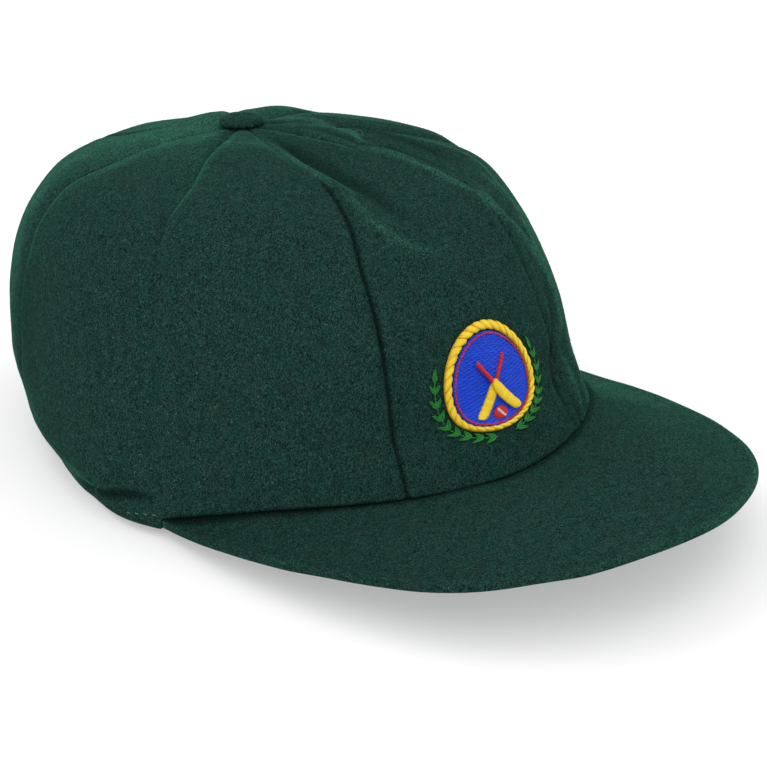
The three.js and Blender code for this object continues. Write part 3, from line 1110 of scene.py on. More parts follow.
@dataclass(frozen=True)
class Warp:
    """How far the peak's edge has gone out of true at one turn: out in plan, and up."""

    turn: float
    out: float
    up: float


WARPS = (
    Warp(-90, 0, 0),
    Warp(-60, 0, 0),
    Warp(-42, 0.8 * MM, -0.9 * MM),
    Warp(-26, 0, 0),
    Warp(-11, 0, 1.1 * MM),
    Warp(10, 0.2 * MM, 0.2 * MM),
    Warp(34, 1.4 * MM, 0),
    Warp(60, 0.4 * MM, 0),
    Warp(90, 0, 0),
)


@dataclass
class Peak:
    """The cloth-covered peak."""

    form: CapForm
    reach: float = 62.4 * MM
    flare: float = 7.8 * MM
    flare_sharpness: float = 2.15
    thickness: float = 2.4 * MM
    nose: float = 1 * MM
    across_steps: int = 200
    body_steps: int = 56
    nose_steps: int = 10
    margin: float = 3.4 * MM
    # Painted shade along the hem by the crown, painted highlight along the edge, and painted sheen lighter towards +X.
    hem_shade: float = 3.2 * MM
    shade_strength: float = 0.75
    edge_glow: float = 0.42
    side_glow: float = 0.5
    edge_width: float = 2.2 * MM
    warp_fade: float = 1.5
    corner_gap: float = 0.5
    crowding: float = 1.2
    slack: float = 0.22 * MM
    slack_waves: tuple[float, float] = (50 * MM, 14 * MM)
    slack_seed: int = 9
    stiff_share: float = 0.15

    def warp(self, turn: np.ndarray, name: str) -> np.ndarray:
        """Read a column of the warps, eased from row to row.

        Args:
            turn: turns round the peak's edge, in degrees.
            name: the column.

        Returns:
            The values there.
        """
        places = np.array([row.turn for row in WARPS])
        values = np.array([getattr(row, name) for row in WARPS])
        i = np.clip(np.searchsorted(places, turn) - 1, 0, len(places) - 2)
        share = smooth((turn - places[i]) / (places[i + 1] - places[i]))
        return values[i] + (values[i + 1] - values[i]) * share

    def build(self, palette: Palette) -> bpy.types.Object:
        """Build the peak as one closed sheet with a round edge.

        Args:
            palette: the finishes.

        Returns:
            The piece.
        """
        form = self.form
        side = np.linspace(-1, 1, self.across_steps + 1)
        turn = np.radians(side * 90)
        flare = self.flare * np.abs(np.cos(turn)) ** self.flare_sharpness
        out = self.warp(side * 90, "out")
        edge_x = (form.corner_x + flare + out) * np.sin(turn)
        edge_y = form.corner_y - (form.hem_front + self.reach + form.corner_y + out) * np.cos(turn)
        hem_angle = side * (form.corner_angle - self.corner_gap)
        hem_turn = np.radians(hem_angle)
        hem_x = (form.hem_side - self.margin) * np.sin(hem_turn)
        hem_y = -(form.hem_front - self.margin) * np.cos(hem_turn)
        edge = np.stack([edge_x, edge_y], -1)
        hem = np.stack([hem_x, hem_y], -1)
        outwards = unit(edge)
        saddle, up = form.saddle_at(hem_angle), self.warp(side * 90, "up")
        width = np.linalg.norm(edge - hem, axis=1)
        rows, shades, glows = [], [], []
        body = np.linspace(1, 0, self.body_steps + 1) ** self.crowding
        for share in body:
            lift = saddle * share**form.saddle_fade + up * (1 - share) ** self.warp_fade
            rows.append(self._row(edge + (hem - edge) * share, 0.0, lift))
            from_hem = width * (1 - share) - self.margin
            # Painted shade along the hem by the crown, and a painted highlight along the edge.
            shades.append(-self.shade_strength * (1 - smooth(from_hem / self.hem_shade)))
            glows.append(self.edge_glow * (1 - smooth(width * share / self.edge_width)))
        for step in np.linspace(0, math.pi, self.nose_steps + 2)[1:-1]:
            reach = self.nose * math.sin(step) * np.cos(turn)[:, None]
            rows.append(self._row(edge + outwards * reach, (1 - math.cos(step)) / 2, up))
            # Painted highlight on the round edge.
            glows.append(np.full(len(side), self.edge_glow))
        for share in body[::-1]:
            lift = saddle * share**form.saddle_fade + up * (1 - share) ** self.warp_fade
            rows.append(self._row(edge + (hem - edge) * share, 1.0, lift))
        points = np.array(rows)
        count, columns = points.shape[:2]
        slack = self.slack * ripples(points, *self.slack_waves, seed=self.slack_seed)
        from_edge = np.abs(np.linspace(-1, 1, count))[:, None]
        points[..., 2] += slack * np.where(from_edge > self.stiff_share, 1, from_edge / self.stiff_share)
        faces = grid_faces(count, columns, closed_rows=True)
        ends = [list(range(0, count * columns, columns)), list(range(columns - 1, count * columns, columns))[::-1]]
        piece = piece_from("peak_cover", points.reshape(-1, 3), faces.tolist() + ends, palette.wool)
        ridge = np.zeros((count, columns))
        ridge[: len(shades)] = shades
        add_number(piece, "ridge", ridge.ravel())
        # Painted sheen lighter towards +X and painted shade towards -X, on top of the painted edge highlight.
        glow = self.side_glow * points[..., 0] / form.hem_side
        glow[: len(glows)] += glows
        add_number(piece, "glow", glow.ravel())
        return settle(piece, Slot.WOOL, "peak")

    def _row(self, plan: np.ndarray, depth: float, saddle: np.ndarray) -> np.ndarray:
        """One line of points round the peak.

        Args:
            plan: its places in plan, from the head's middle.
            depth: the share of the thickness that it lies below the top face.
            saddle: how much higher each point stands near the hem.

        Returns:
            The points.
        """
        top = self.form.peak_top(plan[:, 0], plan[:, 1]) + saddle
        return np.stack([plan[:, 0], plan[:, 1], top - self.thickness * depth], -1) + self.form.middle


@dataclass
class Button:
    """The cloth-covered button on top, gathered under its rim."""

    form: CapForm
    radius: float = 7.3 * MM
    height: float = 3.8 * MM
    lift: float = 0.5 * MM
    gathers: int = 15
    gather_depth: float = 0.045
    gather_height: float = 0.5
    # Painted shade in the gathers and painted highlight where they stand out.
    gather_shade: float = 14
    unevenness: float = 0.03
    # An even painted sheen over the whole button.
    shine: float = 0.22
    round_steps: int = 120
    profile_steps: int = 44
    profile: tuple[tuple[float, float], ...] = (
        (0.55, -0.06), (0.8, -0.04), (0.95, 0.06), (1.0, 0.2), (1.0, 0.36), (0.965, 0.54), (0.88, 0.7),
        (0.74, 0.83), (0.56, 0.92), (0.36, 0.975), (0.18, 0.995),
    )

    def build(self, palette: Palette) -> bpy.types.Object:
        """Build the button.

        Args:
            palette: the finishes.

        Returns:
            The piece.
        """
        knots = np.array(self.profile)
        share = np.linspace(0, len(knots) - 1, self.profile_steps)
        radius, height = (eased(np.interp(share, np.arange(len(knots)), column), 3) for column in knots.T)
        turn = np.linspace(0, 2 * math.pi, self.round_steps, endpoint=False)
        wave = np.cos(self.gathers * turn + 0.6 * np.sin(3 * turn))
        pinch = (1 - smooth(height / self.gather_height))[:, None] * self.gather_depth * wave[None, :]
        across = self.radius * radius[:, None] * (1 + pinch)
        base = self.form.crown_height + self.form.seat_gap + self.lift
        lift = self.height * height[:, None] * (1 + self.unevenness * np.cos(2 * turn + 1)[None, :])
        ring = np.stack([across * np.cos(turn), across * np.sin(turn), base + lift], -1)
        centre = self.form.middle + np.array([0, self.form.top_lean, 0])
        points = ring.reshape(-1, 3) + centre
        rows, columns = across.shape
        caps = np.array([[0, 0, base - 0.06 * self.height], [0, 0, base + self.height]]) + centre
        points = np.concatenate([points, caps])
        low, high = rows * columns, rows * columns + 1
        faces = grid_faces(rows, columns, closed_columns=True).tolist()
        for j in range(columns):
            after = (j + 1) % columns
            faces.append([low, after, j])
            faces.append([high, (rows - 1) * columns + j, (rows - 1) * columns + after])
        piece = piece_from("button_cover", points, faces, palette.wool)
        # Painted shade in the gathers and painted highlight where they stand out.
        ridge = np.concatenate([(pinch * self.gather_shade).ravel(), [0, 0]])
        add_number(piece, "ridge", ridge)
        # An even painted sheen over the whole button.
        add_number(piece, "glow", np.full(len(points), self.shine))
        return settle(piece, Slot.WOOL, "button")


@dataclass
class Stitches:
    """Threads that come out of the cloth, arch over it and go back in, each a closed flattened tube."""

    ring_shares: tuple[float, ...] = (0.0, 0.07, 0.24, 0.5, 0.76, 0.93, 1.0)
    ring_sizes: tuple[float, ...] = (0.25, 0.75, 1.0, 1.0, 1.0, 0.75, 0.25)
    sides: int = 6
    flatness: float = 0.62
    dive: float = 0.2 * MM
    # Painted shade towards each stitch's ends and on its underside.
    end_shade: float = 0.45
    under_shade: float = 0.25

    def sew(self, name: str, start: np.ndarray, end: np.ndarray, out: np.ndarray, width: np.ndarray, crown: np.ndarray,
            shade: np.ndarray, thread: bpy.types.Material) -> bpy.types.Object:
        """Make one piece of many stitches.

        Args:
            name: the piece's name.
            start: where each stitch starts.
            end: where it ends.
            out: the directions out of the cloth there.
            width: its width.
            crown: how much higher its middle arches.
            shade: how deep its colour is, 0 to 1.
            thread: the finish.

        Returns:
            The piece.
        """
        share, size = np.array(self.ring_shares), np.array(self.ring_sizes)
        turn = np.arange(self.sides) * 2 * math.pi / self.sides
        side = unit(np.cross(out, end - start))
        arch = np.sin(np.pi * share) ** 0.5
        lift = crown[:, None] * arch - self.dive * (1 - arch)
        middle = start[:, None] + (end - start)[:, None] * share[None, :, None] + out[:, None] * lift[..., None]
        half = (width / 2)[:, None] * size
        across = half[..., None] * np.cos(turn)
        thick = half[..., None] * np.sin(turn) * self.flatness
        points = middle[:, :, None] + side[:, None, None] * across[..., None] + out[:, None, None] * thick[..., None]
        rings = len(share)
        tube = tube_faces(rings, self.sides)
        step = rings * self.sides
        faces = [[k * step + corner for corner in face] for k in range(len(start)) for face in tube]
        piece = piece_from(name, points.reshape(-1, 3), faces, thread)
        # Painted shade: darker towards the ends, where the thread dives, and on the underside.
        ends, under = self.end_shade * (1 - arch), self.under_shade * (1 - np.sin(turn)) / 2
        depth = shade[:, None, None] + ends[None, :, None] + under
        add_number(piece, "shade", depth.ravel())
        return piece


class Needlework:
    """Stitches laid on the front gore, in metres right and up from the badge's middle."""

    place_spread: float = 0.035 * MM
    width_spread: float = 0.06
    shade_spread: float = 0.34
    felt_base: float = 0.05 * MM
    # The felt takes the thread's deep colour, as painted shade between the stitches.
    felt_shade: float = 0.9

    def __init__(self, form: CapForm, seed: int) -> None:
        """Start with no stitches.

        Args:
            form: the cap's form.
            seed: the seed of the hand's unevenness.
        """
        self.form = form
        self.draw = np.random.default_rng(seed)
        self.rows: list[tuple[float, ...]] = []

    def place(self, right: np.ndarray, up: np.ndarray, lift: np.ndarray) -> np.ndarray:
        """Points over the front gore.

        Args:
            right: places to the right.
            up: places up.
            lift: heights out of the cloth.

        Returns:
            The points.
        """
        girth = self.form.hem_side * self.form.table.read("side", Badge.rise)
        upright = self.form.climb_at(0, Badge.rise)
        return self.form.ground(Badge.angle + np.degrees(right / girth), Badge.rise + up / upright, lift)

    def stitch(self, start: Sequence[float], end: Sequence[float], width: float, base: float, crown: float,
               shade: float = 0) -> None:
        """Lay one stitch.

        Args:
            start: where it comes out of the cloth, right and up.
            end: where it goes back in.
            width: the thread's width.
            base: how far it lies above the cloth.
            crown: how much higher its middle arches.
            shade: how deep its colour is.
        """
        aside = self.draw.normal(0, self.place_spread, 4)
        stretch = 1 + self.draw.normal(0, self.width_spread)
        deep = shade + self.draw.uniform(0, self.shade_spread)
        self.rows.append((start[0] + aside[0], start[1] + aside[1], end[0] + aside[2], end[1] + aside[3],
                          width * stretch, base, crown, deep))

    def sew(self, name: str, thread: bpy.types.Material) -> bpy.types.Object:
        """Make all the stitches laid so far into one piece.

        Args:
            name: the piece's name.
            thread: its finish.

        Returns:
            The piece.
        """
        right_1, up_1, right_2, up_2, width, base, crown, shade = np.array(self.rows).T
        self.rows = []
        start, end = self.place(right_1, up_1, base), self.place(right_2, up_2, base)
        right, up = (right_1 + right_2) / 2, (up_1 + up_2) / 2
        out = unit(self.place(right, up, base + MM) - self.place(right, up, base))
        return Stitches().sew(name, start, end, out, width, crown, shade, thread)

    def patch(self, name: str, rim: np.ndarray, inner: np.ndarray, height: float, felt: bpy.types.Material,
              middle: tuple[float, float] = (0, 0)) -> bpy.types.Object:
        """A thin padding under stitches, closed all round.

        Args:
            name: the piece's name.
            rim: its outer radius at even turns.
            inner: its inner radius there.
            height: its thickness.
            felt: its finish.
            middle: its middle, right and up.

        Returns:
            The piece.
        """
        turn = np.linspace(0, 2 * math.pi, len(rim), endpoint=False)
        rows = []
        for share, lift in ((0, 0), (0.5, 0), (1, 0), (1, 0.7), (0.95, 1), (0.5, 1), (0, 1)):
            radius = inner + (rim - inner) * share
            across, up = middle[0] + radius * np.cos(turn), middle[1] + radius * np.sin(turn)
            rows.append(self.place(across, up, np.full(len(turn), self.felt_base + lift * height)))
        points = np.array(rows).reshape(-1, 3)
        faces = grid_faces(len(rows), len(turn), closed_rows=True, closed_columns=True)[:, ::-1]
        piece = piece_from(name, points, faces, felt)
        # Painted shade between the stitches: the felt takes the thread's deep colour.
        add_number(piece, "shade", np.full(len(points), self.felt_shade))
        return piece


@dataclass
class Badge:
    """The embroidered badge: crossed bats and a ball on a round ground, with a rope border and two sprays."""

    form: CapForm
    angle: float = -1.0
    rise: float = 0.225
    ground_radius: float = 14.2 * MM
    ground_stitch: float = 4.2 * MM
    ground_height: float = 0.75 * MM
    felt_height: float = 0.62 * MM
    rope_gap: float = 0.1 * MM
    rope_slant: float = 0.085
    rope_height: float = 0.35 * MM
    rope_bulge: float = 0.45 * MM
    rope_width: float = 2.5 * MM
    rope_twists: int = 34
    ring_inset: float = 0.75 * MM
    bat_length: float = 20.4 * MM
    bat_width: float = 3.6 * MM
    bat_lean: float = 36
    bat_crossing: float = 0.56
    ball_radius: float = 2.6 * MM
    ball_drop: float = 9 * MM
    leaf_pairs: int = 8
    leaf_length: float = 3.9 * MM
    spray_start: float = 10
    spray_end: float = 106
    spray_gap: float = 2.75 * MM
    front_height: float = 1.05 * MM
    thread: float = 0.42 * MM
    pitch: float = 0.34 * MM

    def build(self, palette: Palette) -> None:
        """Sew the whole badge.

        Args:
            palette: the finishes.
        """
        work = Needlework(self.form, seed=12)
        self.ground(work, palette)
        self.rope(work, palette)
        self.bat(work, palette, "left", -1, 0)
        self.bat(work, palette, "right", 1, 1)
        self.ball(work, palette)
        self.spray(work, palette, "left", 1)
        self.spray(work, palette, "right", -1)

    def ground(self, work: Needlework, palette: Palette) -> None:
        """Fill the round ground with level rows of stitches, each row set off from the last.

        Args:
            work: the needlework.
            palette: the finishes.
        """
        radius = self.ground_radius - self.rope_gap
        length = self.ground_stitch
        rows = int(2 * radius / (self.pitch * 1.08))
        for i in range(rows):
            up = -radius + (i + 0.5) * 2 * radius / rows
            half = math.sqrt(max(radius**2 - up**2, 0))
            start = -half
            cut = -half + (i % 3 + 0.6) / 3 * length
            while start < half - 0.3 * MM:
                end = min(cut, half)
                if end - start > 0.5 * MM:
                    work.stitch((start, up), (end, up), self.thread, self.ground_height, 0.08 * MM)
                start, cut = end, cut + length
        settle(work.sew("badge_ground_stitches", palette.blue), Slot.BLUE, "badge_ground")
        rim, inner = np.full(60, radius), np.full(60, 0.3 * MM)
        settle(work.patch("badge_ground_felt", rim, inner, self.felt_height, palette.blue), Slot.BLUE)

    def rope(self, work: Needlework, palette: Palette) -> None:
        """Sew the border as a twisted rope of slanted stitches.

        Args:
            work: the needlework.
            palette: the finishes.
        """
        middle = self.ground_radius + self.rope_gap + self.rope_width / 2
        count = int(2 * math.pi * middle / self.pitch)
        for i in range(count):
            turn = 2 * math.pi * i / count
            phase = (turn * self.rope_twists / (2 * math.pi)) % 1
            bulge = math.sin(math.pi * phase) ** 0.6
            half = self.rope_width / 2 * (0.78 + 0.22 * bulge)
            low, high = turn - self.rope_slant, turn + self.rope_slant
            start = ((middle - half) * math.cos(low), (middle - half) * math.sin(low))
            end = ((middle + half) * math.cos(high), (middle + half) * math.sin(high))
            height = self.rope_height + self.rope_bulge * bulge
            # Painted shade in the rope's valleys between the twists.
            work.stitch(start, end, self.thread, height, 0.55 * MM, 0.75 * (1 - bulge))
        settle(work.sew("badge_rope_stitches", palette.gold), Slot.GOLD, "badge_rope")
        rim = np.full(72, middle + self.rope_width * 0.42)
        felt = work.patch("badge_rope_felt", rim, np.full(72, middle - self.rope_width * 0.42), 0.5 * MM, palette.gold)
        settle(felt, Slot.GOLD)
        ring = self.ground_radius - self.ring_inset
        count = int(2 * math.pi * ring / (1.05 * MM))
        for i in range(count):
            low, high = 2 * math.pi * i / count, 2 * math.pi * (i + 1.12) / count
            start, end = (ring * math.cos(low), ring * math.sin(low)), (ring * math.cos(high), ring * math.sin(high))
            work.stitch(start, end, 0.5 * MM, 0.95 * MM, 0.14 * MM)
        settle(work.sew("badge_ring_stitches", palette.red), Slot.RED)

    def bat(self, work: Needlework, palette: Palette, name: str, side: int, layer: int) -> None:
        """Sew one bat: a blade of close stitches across it and a bound handle.

        Args:
            work: the needlework.
            palette: the finishes.
            name: which bat.
            side: the way that it leans.
            layer: 0 for the lower bat and 1 for the upper.
        """
        lean = math.radians(side * self.bat_lean)
        along = np.array([-math.sin(lean), math.cos(lean)])
        across = np.array([math.cos(lean), math.sin(lean)])
        base = self.front_height + layer * 0.75 * MM
        blade = ((0, 0.62), (0.02, 0.84), (0.06, 1), (0.3, 1), (0.52, 0.96), (0.6, 0.66), (0.64, 0.42))
        handle = ((0.64, 0.4), (0.8, 0.38), (0.985, 0.38), (1, 0.46))
        for part, outline, thread, slot in (
            ("blade", blade, palette.gold, Slot.GOLD),
            ("handle", handle, palette.red, Slot.RED),
        ):
            low, high = outline[0][0], outline[-1][0]
            count = int((high - low) * self.bat_length / (self.pitch * 0.95))
            for i in range(count + 1):
                share = low + (high - low) * i / count
                half = np.interp(share, *np.array(outline).T) * self.bat_width / 2
                spot = along * (share - self.bat_crossing) * self.bat_length
                slant = along * 0.12 * half
                work.stitch(spot - across * half - slant, spot + across * half + slant, self.thread, base, 0.32 * MM)
            piece = work.sew(f"bat_{name}_{part}", thread)
            settle(piece, slot, *((f"badge_bat_{name}",) if part == "blade" else ()))

    def ball(self, work: Needlework, palette: Palette) -> None:
        """Sew the ball and its pale seam.

        Args:
            work: the needlework.
            palette: the finishes.
        """
        tilt = math.radians(28)
        across, up = np.array([math.cos(tilt), math.sin(tilt)]), np.array([-math.sin(tilt), math.cos(tilt)])
        middle = np.array([0, -self.ball_drop])
        count = int(2 * self.ball_radius / (self.pitch * 0.95))
        for i in range(count + 1):
            level = -self.ball_radius * 0.97 + 1.94 * self.ball_radius * i / count
            half = math.sqrt(max(self.ball_radius**2 - level**2, 0)) + 0.12 * MM
            spot = middle + up * level
            work.stitch(spot - across * half, spot + across * half, self.thread, self.front_height, 0.42 * MM)
        settle(work.sew("ball_stitches", palette.red), Slot.RED, "badge_ball")
        for i in range(-4, 5):
            spot = middle + up * i * 0.52 * MM
            way = across * 0.5 * MM + up * 0.16 * MM
            work.stitch(spot - way, spot + way, 0.26 * MM, 1.6 * MM, 0.12 * MM)
        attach(work.sew("ball_seam", palette.white), BODY)

    def spray(self, work: Needlework, palette: Palette, name: str, side: int) -> None:
        """Sew a spray of paired leaves on a stem round one side of the rope.

        Args:
            work: the needlework.
            palette: the finishes.
            name: which spray.
            side: 1 on the right of the badge and -1 on the left.
        """
        radius = self.ground_radius + self.rope_width + self.spray_gap
        turns = np.radians(np.linspace(self.spray_start, self.spray_end, self.leaf_pairs * 4 + 1))
        stem = np.stack([side * radius * np.sin(turns), -radius * np.cos(turns)], -1)
        for first, last in zip(stem[:-1], stem[1:]):
            work.stitch(first, last, self.thread * 0.9, 0.35 * MM, 0.1 * MM)
        for k in range(self.leaf_pairs):
            spot = stem[4 * k + 1]
            forward = unit(stem[4 * k + 2] - stem[4 * k])
            outward = unit(spot)
            size = self.leaf_length * (1 - 0.35 * (k / (self.leaf_pairs - 1)) ** 2)
            for way in (-1, 1):
                along = unit(forward * 0.86 + outward * way * 0.62)
                self._leaf(work, spot, along, size)
        along = unit(stem[-1] - stem[-2])
        self._leaf(work, stem[-1], along, self.leaf_length * 0.8)
        settle(work.sew(f"spray_{name}_stitches", palette.green), Slot.GREEN, f"badge_spray_{name}")

    def _leaf(self, work: Needlework, foot: np.ndarray, along: np.ndarray, length: float) -> None:
        """Sew one leaf as two rows of slanted stitches that meet on its rib.

        Args:
            work: the needlework.
            foot: where it leaves the stem.
            along: the way that it points.
            length: its length.
        """
        across = np.array([-along[1], along[0]])
        count = max(int(length / (self.pitch * 1.05)), 4)
        for i in range(count):
            share = (i + 0.5) / count
            half = length * 0.21 * math.sin(math.pi * share**0.8) + 0.12 * MM
            rib = foot + along * length * share
            for way in (-1, 1):
                tip = rib + across * way * half - along * half * 0.75
                work.stitch(tip, rib + along * 0.1 * MM, self.thread * 0.86, 0.4 * MM, 0.22 * MM)


@dataclass
class Nap:
    """Short stray fibres that stand out of the wool."""

    form: CapForm
    crown_fibres: int = 19000
    peak_fibres: int = 9000
    button_fibres: int = 400
    shortest: float = 0.5 * MM
    longest: float = 1.5 * MM
    radius: float = 0.022 * MM
    root_depth: float = 0.1 * MM
    scatter: float = 0.4
    lowest_lie: float = 0.15
    highest_lie: float = 0.7
    bend: float = 0.4
    seed: int = 31

    def build(self, palette: Palette, peak: bpy.types.Object, button: bpy.types.Object) -> None:
        """Grow the fibres.

        Args:
            palette: the finishes.
            peak: the peak's cover.
            button: the button's cover.
        """
        draw = np.random.default_rng(self.seed)
        tries = self.crown_fibres * 2
        angle = draw.uniform(-180, 180, tries)
        rise = draw.uniform(0.01, 0.97, tries)
        keep = draw.uniform(0, 1, tries) < self.form.table.read("side", rise)
        angle, rise = angle[keep][: self.crown_fibres], rise[keep][: self.crown_fibres]
        root = self.form.cloth(angle, rise, np.full(len(angle), -self.root_depth))
        out = self.form.out_of_cloth(angle, rise)
        settle(self.fibres("crown_nap", root, out, draw, palette.nap), Slot.WOOL)
        for name, piece, count in (("peak_nap", peak, self.peak_fibres), ("button_nap", button, self.button_fibres)):
            root, out = self.on_mesh(piece, count, draw)
            settle(self.fibres(name, root, out, draw, palette.nap), Slot.WOOL)

    def on_mesh(self, piece: bpy.types.Object, count: int, draw: np.random.Generator) -> tuple[np.ndarray, np.ndarray]:
        """Choose places on the faces of a piece, evenly over its area.

        Args:
            piece: the piece.
            count: how many places.
            draw: the source of chance.

        Returns:
            The places, and the directions out of the faces there.
        """
        polygons = piece.data.polygons
        area = np.array([face.area for face in polygons])
        chosen = draw.choice(len(polygons), count, p=area / area.sum())
        centre = np.array([face.center for face in polygons])[chosen]
        out = np.array([face.normal for face in polygons])[chosen]
        aside = np.cross(out, draw.normal(size=(count, 3)))
        return centre + aside * np.sqrt(area[chosen])[:, None] * self.scatter - out * self.root_depth, out

    def fibres(self, name: str, root: np.ndarray, out: np.ndarray, draw: np.random.Generator,
               finish: bpy.types.Material) -> bpy.types.Object:
        """Make bent, tapered fibres.

        Args:
            name: the piece's name.
            root: where they grow.
            out: the cloth's outward directions there.
            draw: the source of chance.
            finish: their finish.

        Returns:
            The piece.
        """
        count = len(root)
        level = unit(np.cross(out, draw.normal(size=(count, 3))))
        level_2 = np.cross(out, level)
        length = draw.uniform(self.shortest, self.longest, count)[:, None]
        lie = draw.uniform(self.lowest_lie, self.highest_lie, count)[:, None]
        bend = draw.normal(0, self.bend, count)[:, None]
        middle = root + length * 0.5 * (level + out * lie)
        tip = root + length * (level * (1 - 0.1 * bend**2) + level_2 * bend + out * lie * 0.9)
        points = np.empty((count, 7, 3))
        for k in range(3):
            turn = 2 * math.pi * k / 3
            ring = (level_2 * math.cos(turn) + out * math.sin(turn)) * self.radius
            points[:, k] = root + ring
            points[:, 3 + k] = middle + ring * 0.8
        points[:, 6] = tip
        pattern = [(0, 2, 1)] + [(k, (k + 1) % 3, 3 + (k + 1) % 3, 3 + k) for k in range(3)]
        pattern += [(3 + k, 3 + (k + 1) % 3, 6) for k in range(3)]
        faces = [[7 * i + corner for corner in face] for i in range(count) for face in pattern]
        return piece_from(name, points.reshape(-1, 3), faces, finish)


@dataclass(frozen=True)
class Hair:
    """A loose hair on the crown: its line of angles, rises and heights in millimetres."""

    name: str
    pale: bool
    line: tuple[tuple[float, float, float], ...]


HAIRS = (
    Hair("curl", False, ((24.5, 0.567, 0), (22.6, 0.552, 0.7), (23.6, 0.536, 0.4), (27, 0.534, 0.9), (29.5, 0.516, 0))),
    Hair("snag", True, ((-83, 0.022, 0), (-84, 0.028, 0.6), (-83.2, 0.037, 0.5), (-80, 0.055, 0))),
    Hair("shed", False, ((-74, 0.258, 0.1), (-73.2, 0.265, 0.5), (-72, 0.267, 0.1))),
    Hair("wisp", True, ((56, 0.786, 0), (52, 0.78, 0.9), (43, 0.776, 0.3))),
)


@dataclass
class Trimming:
    """The stitches that hold the hem behind each corner of the peak, and a few loose hairs."""

    form: CapForm
    stitches: tuple[tuple[float, float], ...] = ((69, 0.024), (70.8, 0.022), (72.6, 0.019), (74.4, 0.016))
    stitch_length: float = 1.3 * MM
    stitch_width: float = 0.24 * MM
    stitch_base: float = 0.02 * MM
    stitch_crown: float = 0.12 * MM
    hair_radius: float = 0.036 * MM
    hair_taper: float = 0.25
    hair_sides: int = 5
    hair_steps: int = 24

    def build(self, palette: Palette) -> None:
        """Sew the stitches and lay the hairs.

        Args:
            palette: the finishes.
        """
        form = self.form
        angle, rise = np.array([(side * angle, rise) for side in (-1, 1) for angle, rise in self.stitches]).T
        half = math.degrees(self.stitch_length / form.hem_side) / 2
        even = np.ones(len(angle))
        ends = [form.cloth(angle + way * half, rise, self.stitch_base * even) for way in (-1, 1)]
        piece = Stitches().sew("hem_stitches", *ends, form.out_of_cloth(angle, rise), even * self.stitch_width,
                               even * self.stitch_crown, even * 0, palette.tacking)
        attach(piece, BODY)
        for hair in HAIRS:
            finish = palette.tacking if hair.pale else palette.hair
            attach(self.hair(hair, finish), BODY)

    def hair(self, hair: Hair, finish: bpy.types.Material) -> bpy.types.Object:
        """Make one hair as a closed thin tube.

        Args:
            hair: the hair.
            finish: its finish.

        Returns:
            The piece.
        """
        knots = np.array(hair.line)
        at = np.linspace(0, len(knots) - 1, self.hair_steps)
        angle, rise, lift = (np.interp(at, np.arange(len(knots)), column) for column in knots.T)
        line = eased(self.form.cloth(angle, rise, lift * MM), 6)
        along = unit(np.gradient(line, axis=0))
        side = unit(np.cross(along, self.form.out_of_cloth(angle, rise)))
        up = np.cross(side, along)
        taper = np.linspace(self.hair_taper, math.pi - self.hair_taper, self.hair_steps)
        radius = self.hair_radius * np.sin(taper) ** 0.5
        turn = np.arange(self.hair_sides) * 2 * math.pi / self.hair_sides
        ring = side[:, None] * np.cos(turn)[:, None] + up[:, None] * np.sin(turn)[:, None]
        points = line[:, None] + ring * radius[:, None, None]
        faces = tube_faces(self.hair_steps, self.hair_sides)
        return piece_from(f"hair_{hair.name}", points.reshape(-1, 3), faces, finish)


def towards(azimuth: float, elevation: float) -> Vector:
    """The direction from the cap towards an azimuth and elevation, in degrees from the front."""
    a, e = math.radians(azimuth), math.radians(elevation)
    return Vector((math.sin(a) * math.cos(e), -math.cos(a) * math.cos(e), math.sin(e)))


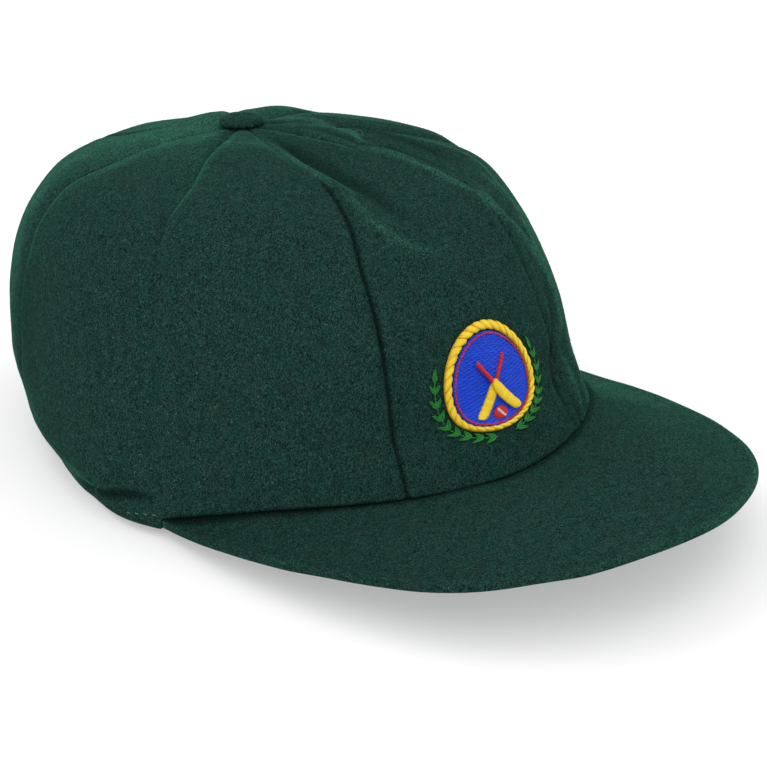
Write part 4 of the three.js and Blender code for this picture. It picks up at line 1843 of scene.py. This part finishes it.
@dataclass
class Stage:
    """The pale floor, the soft light and the camera."""

    form: CapForm
    azimuth: float = -40.48
    elevation: float = 23.61
    roll: float = 1.864
    distance: float = 455.4 * MM
    focal_pixels: float = 1386.4
    aim_right: float = 28.23 * MM
    aim_up: float = -40.72 * MM
    aim_height: float = 54.5 * MM
    floor_half: float = 6.0
    floor_grey: float = 0.62
    floor_glow: float = 0.36
    tent: float = 1.06
    lamp_aim: float = 0.05
    lamps: tuple[tuple[str, float, float, float, float, float], ...] = (
        ("key", -50, 50, 1.3, 0.9, 1.3),
        ("top", 60, 65, 1.4, 1.0, 1.7),
        ("back", -165, 58, 1.4, 0.9, 2.8),
    )

    def build(self) -> None:
        """Build the stage."""
        self.camera()
        self.floor()
        self.lights()

    def camera(self) -> None:
        """Put the camera at the photograph's angle."""
        a, r = math.radians(self.azimuth), math.radians(self.roll)
        back = towards(self.azimuth, self.elevation)
        right = Vector((math.cos(a), math.sin(a), 0))
        up = back.cross(right)
        aim = Vector(self.form.middle) + Vector((0, 0, self.aim_height)) + self.aim_right * right + self.aim_up * up
        rolled_right = math.cos(r) * right - math.sin(r) * up
        rolled_up = math.sin(r) * right + math.cos(r) * up
        data = bpy.data.cameras.new("camera")
        data.lens = data.sensor_width * self.focal_pixels / IMAGE_WIDTH
        camera = bpy.data.objects.new("camera", data)
        columns = (rolled_right, rolled_up, back, aim + back * self.distance)
        camera.matrix_world = Matrix([[column[k] for column in columns] for k in range(3)] + [[0, 0, 0, 1]])
        bpy.context.scene.collection.objects.link(camera)
        bpy.context.scene.camera = camera

    def floor(self) -> None:
        """Lay the floor under the cap."""
        h = self.floor_half
        corners = np.array([[-h, -h, 0], [h, -h, 0], [h, h, 0], [-h, h, 0]])
        finish = Plain("floor", (self.floor_grey,) * 3, glow=self.floor_glow).make()
        floor = piece_from("floor", corners, np.array([[0, 1, 2, 3]]), finish)

    def lights(self) -> None:
        """Light the cap from a soft white tent, a little brighter above, in front and behind."""
        bpy.context.scene.view_settings.view_transform = "Standard"
        world = bpy.data.worlds.new("tent")
        world.use_nodes = True
        world.node_tree.nodes["Background"].inputs["Color"].default_value = (1, 1, 1, 1)
        world.node_tree.nodes["Background"].inputs["Strength"].default_value = self.tent
        bpy.context.scene.world = world
        for name, azimuth, elevation, away, size, power in self.lamps:
            back = towards(azimuth, elevation)
            data = bpy.data.lights.new(name, "AREA")
            data.shape, data.size, data.energy = "DISK", size, power
            light = bpy.data.objects.new(name, data)
            light.location = Vector((0, 0, self.lamp_aim)) + back * away
            light.rotation_euler = (-back).to_track_quat("-Z", "Y").to_euler()
            bpy.context.scene.collection.objects.link(light)


def main() -> None:
    """Build the cap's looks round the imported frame."""
    logging.basicConfig(level=logging.INFO, format="%(message)s")
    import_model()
    form = CapForm()
    palette = Palette()
    Stage(form).build()
    Crown(form).build(palette)
    peak = Peak(form).build(palette)
    button = Button(form).build(palette)
    Badge(form).build(palette)
    Nap(form).build(palette, peak, button)
    Trimming(form).build(palette)


if __name__ == "__main__":
    main()
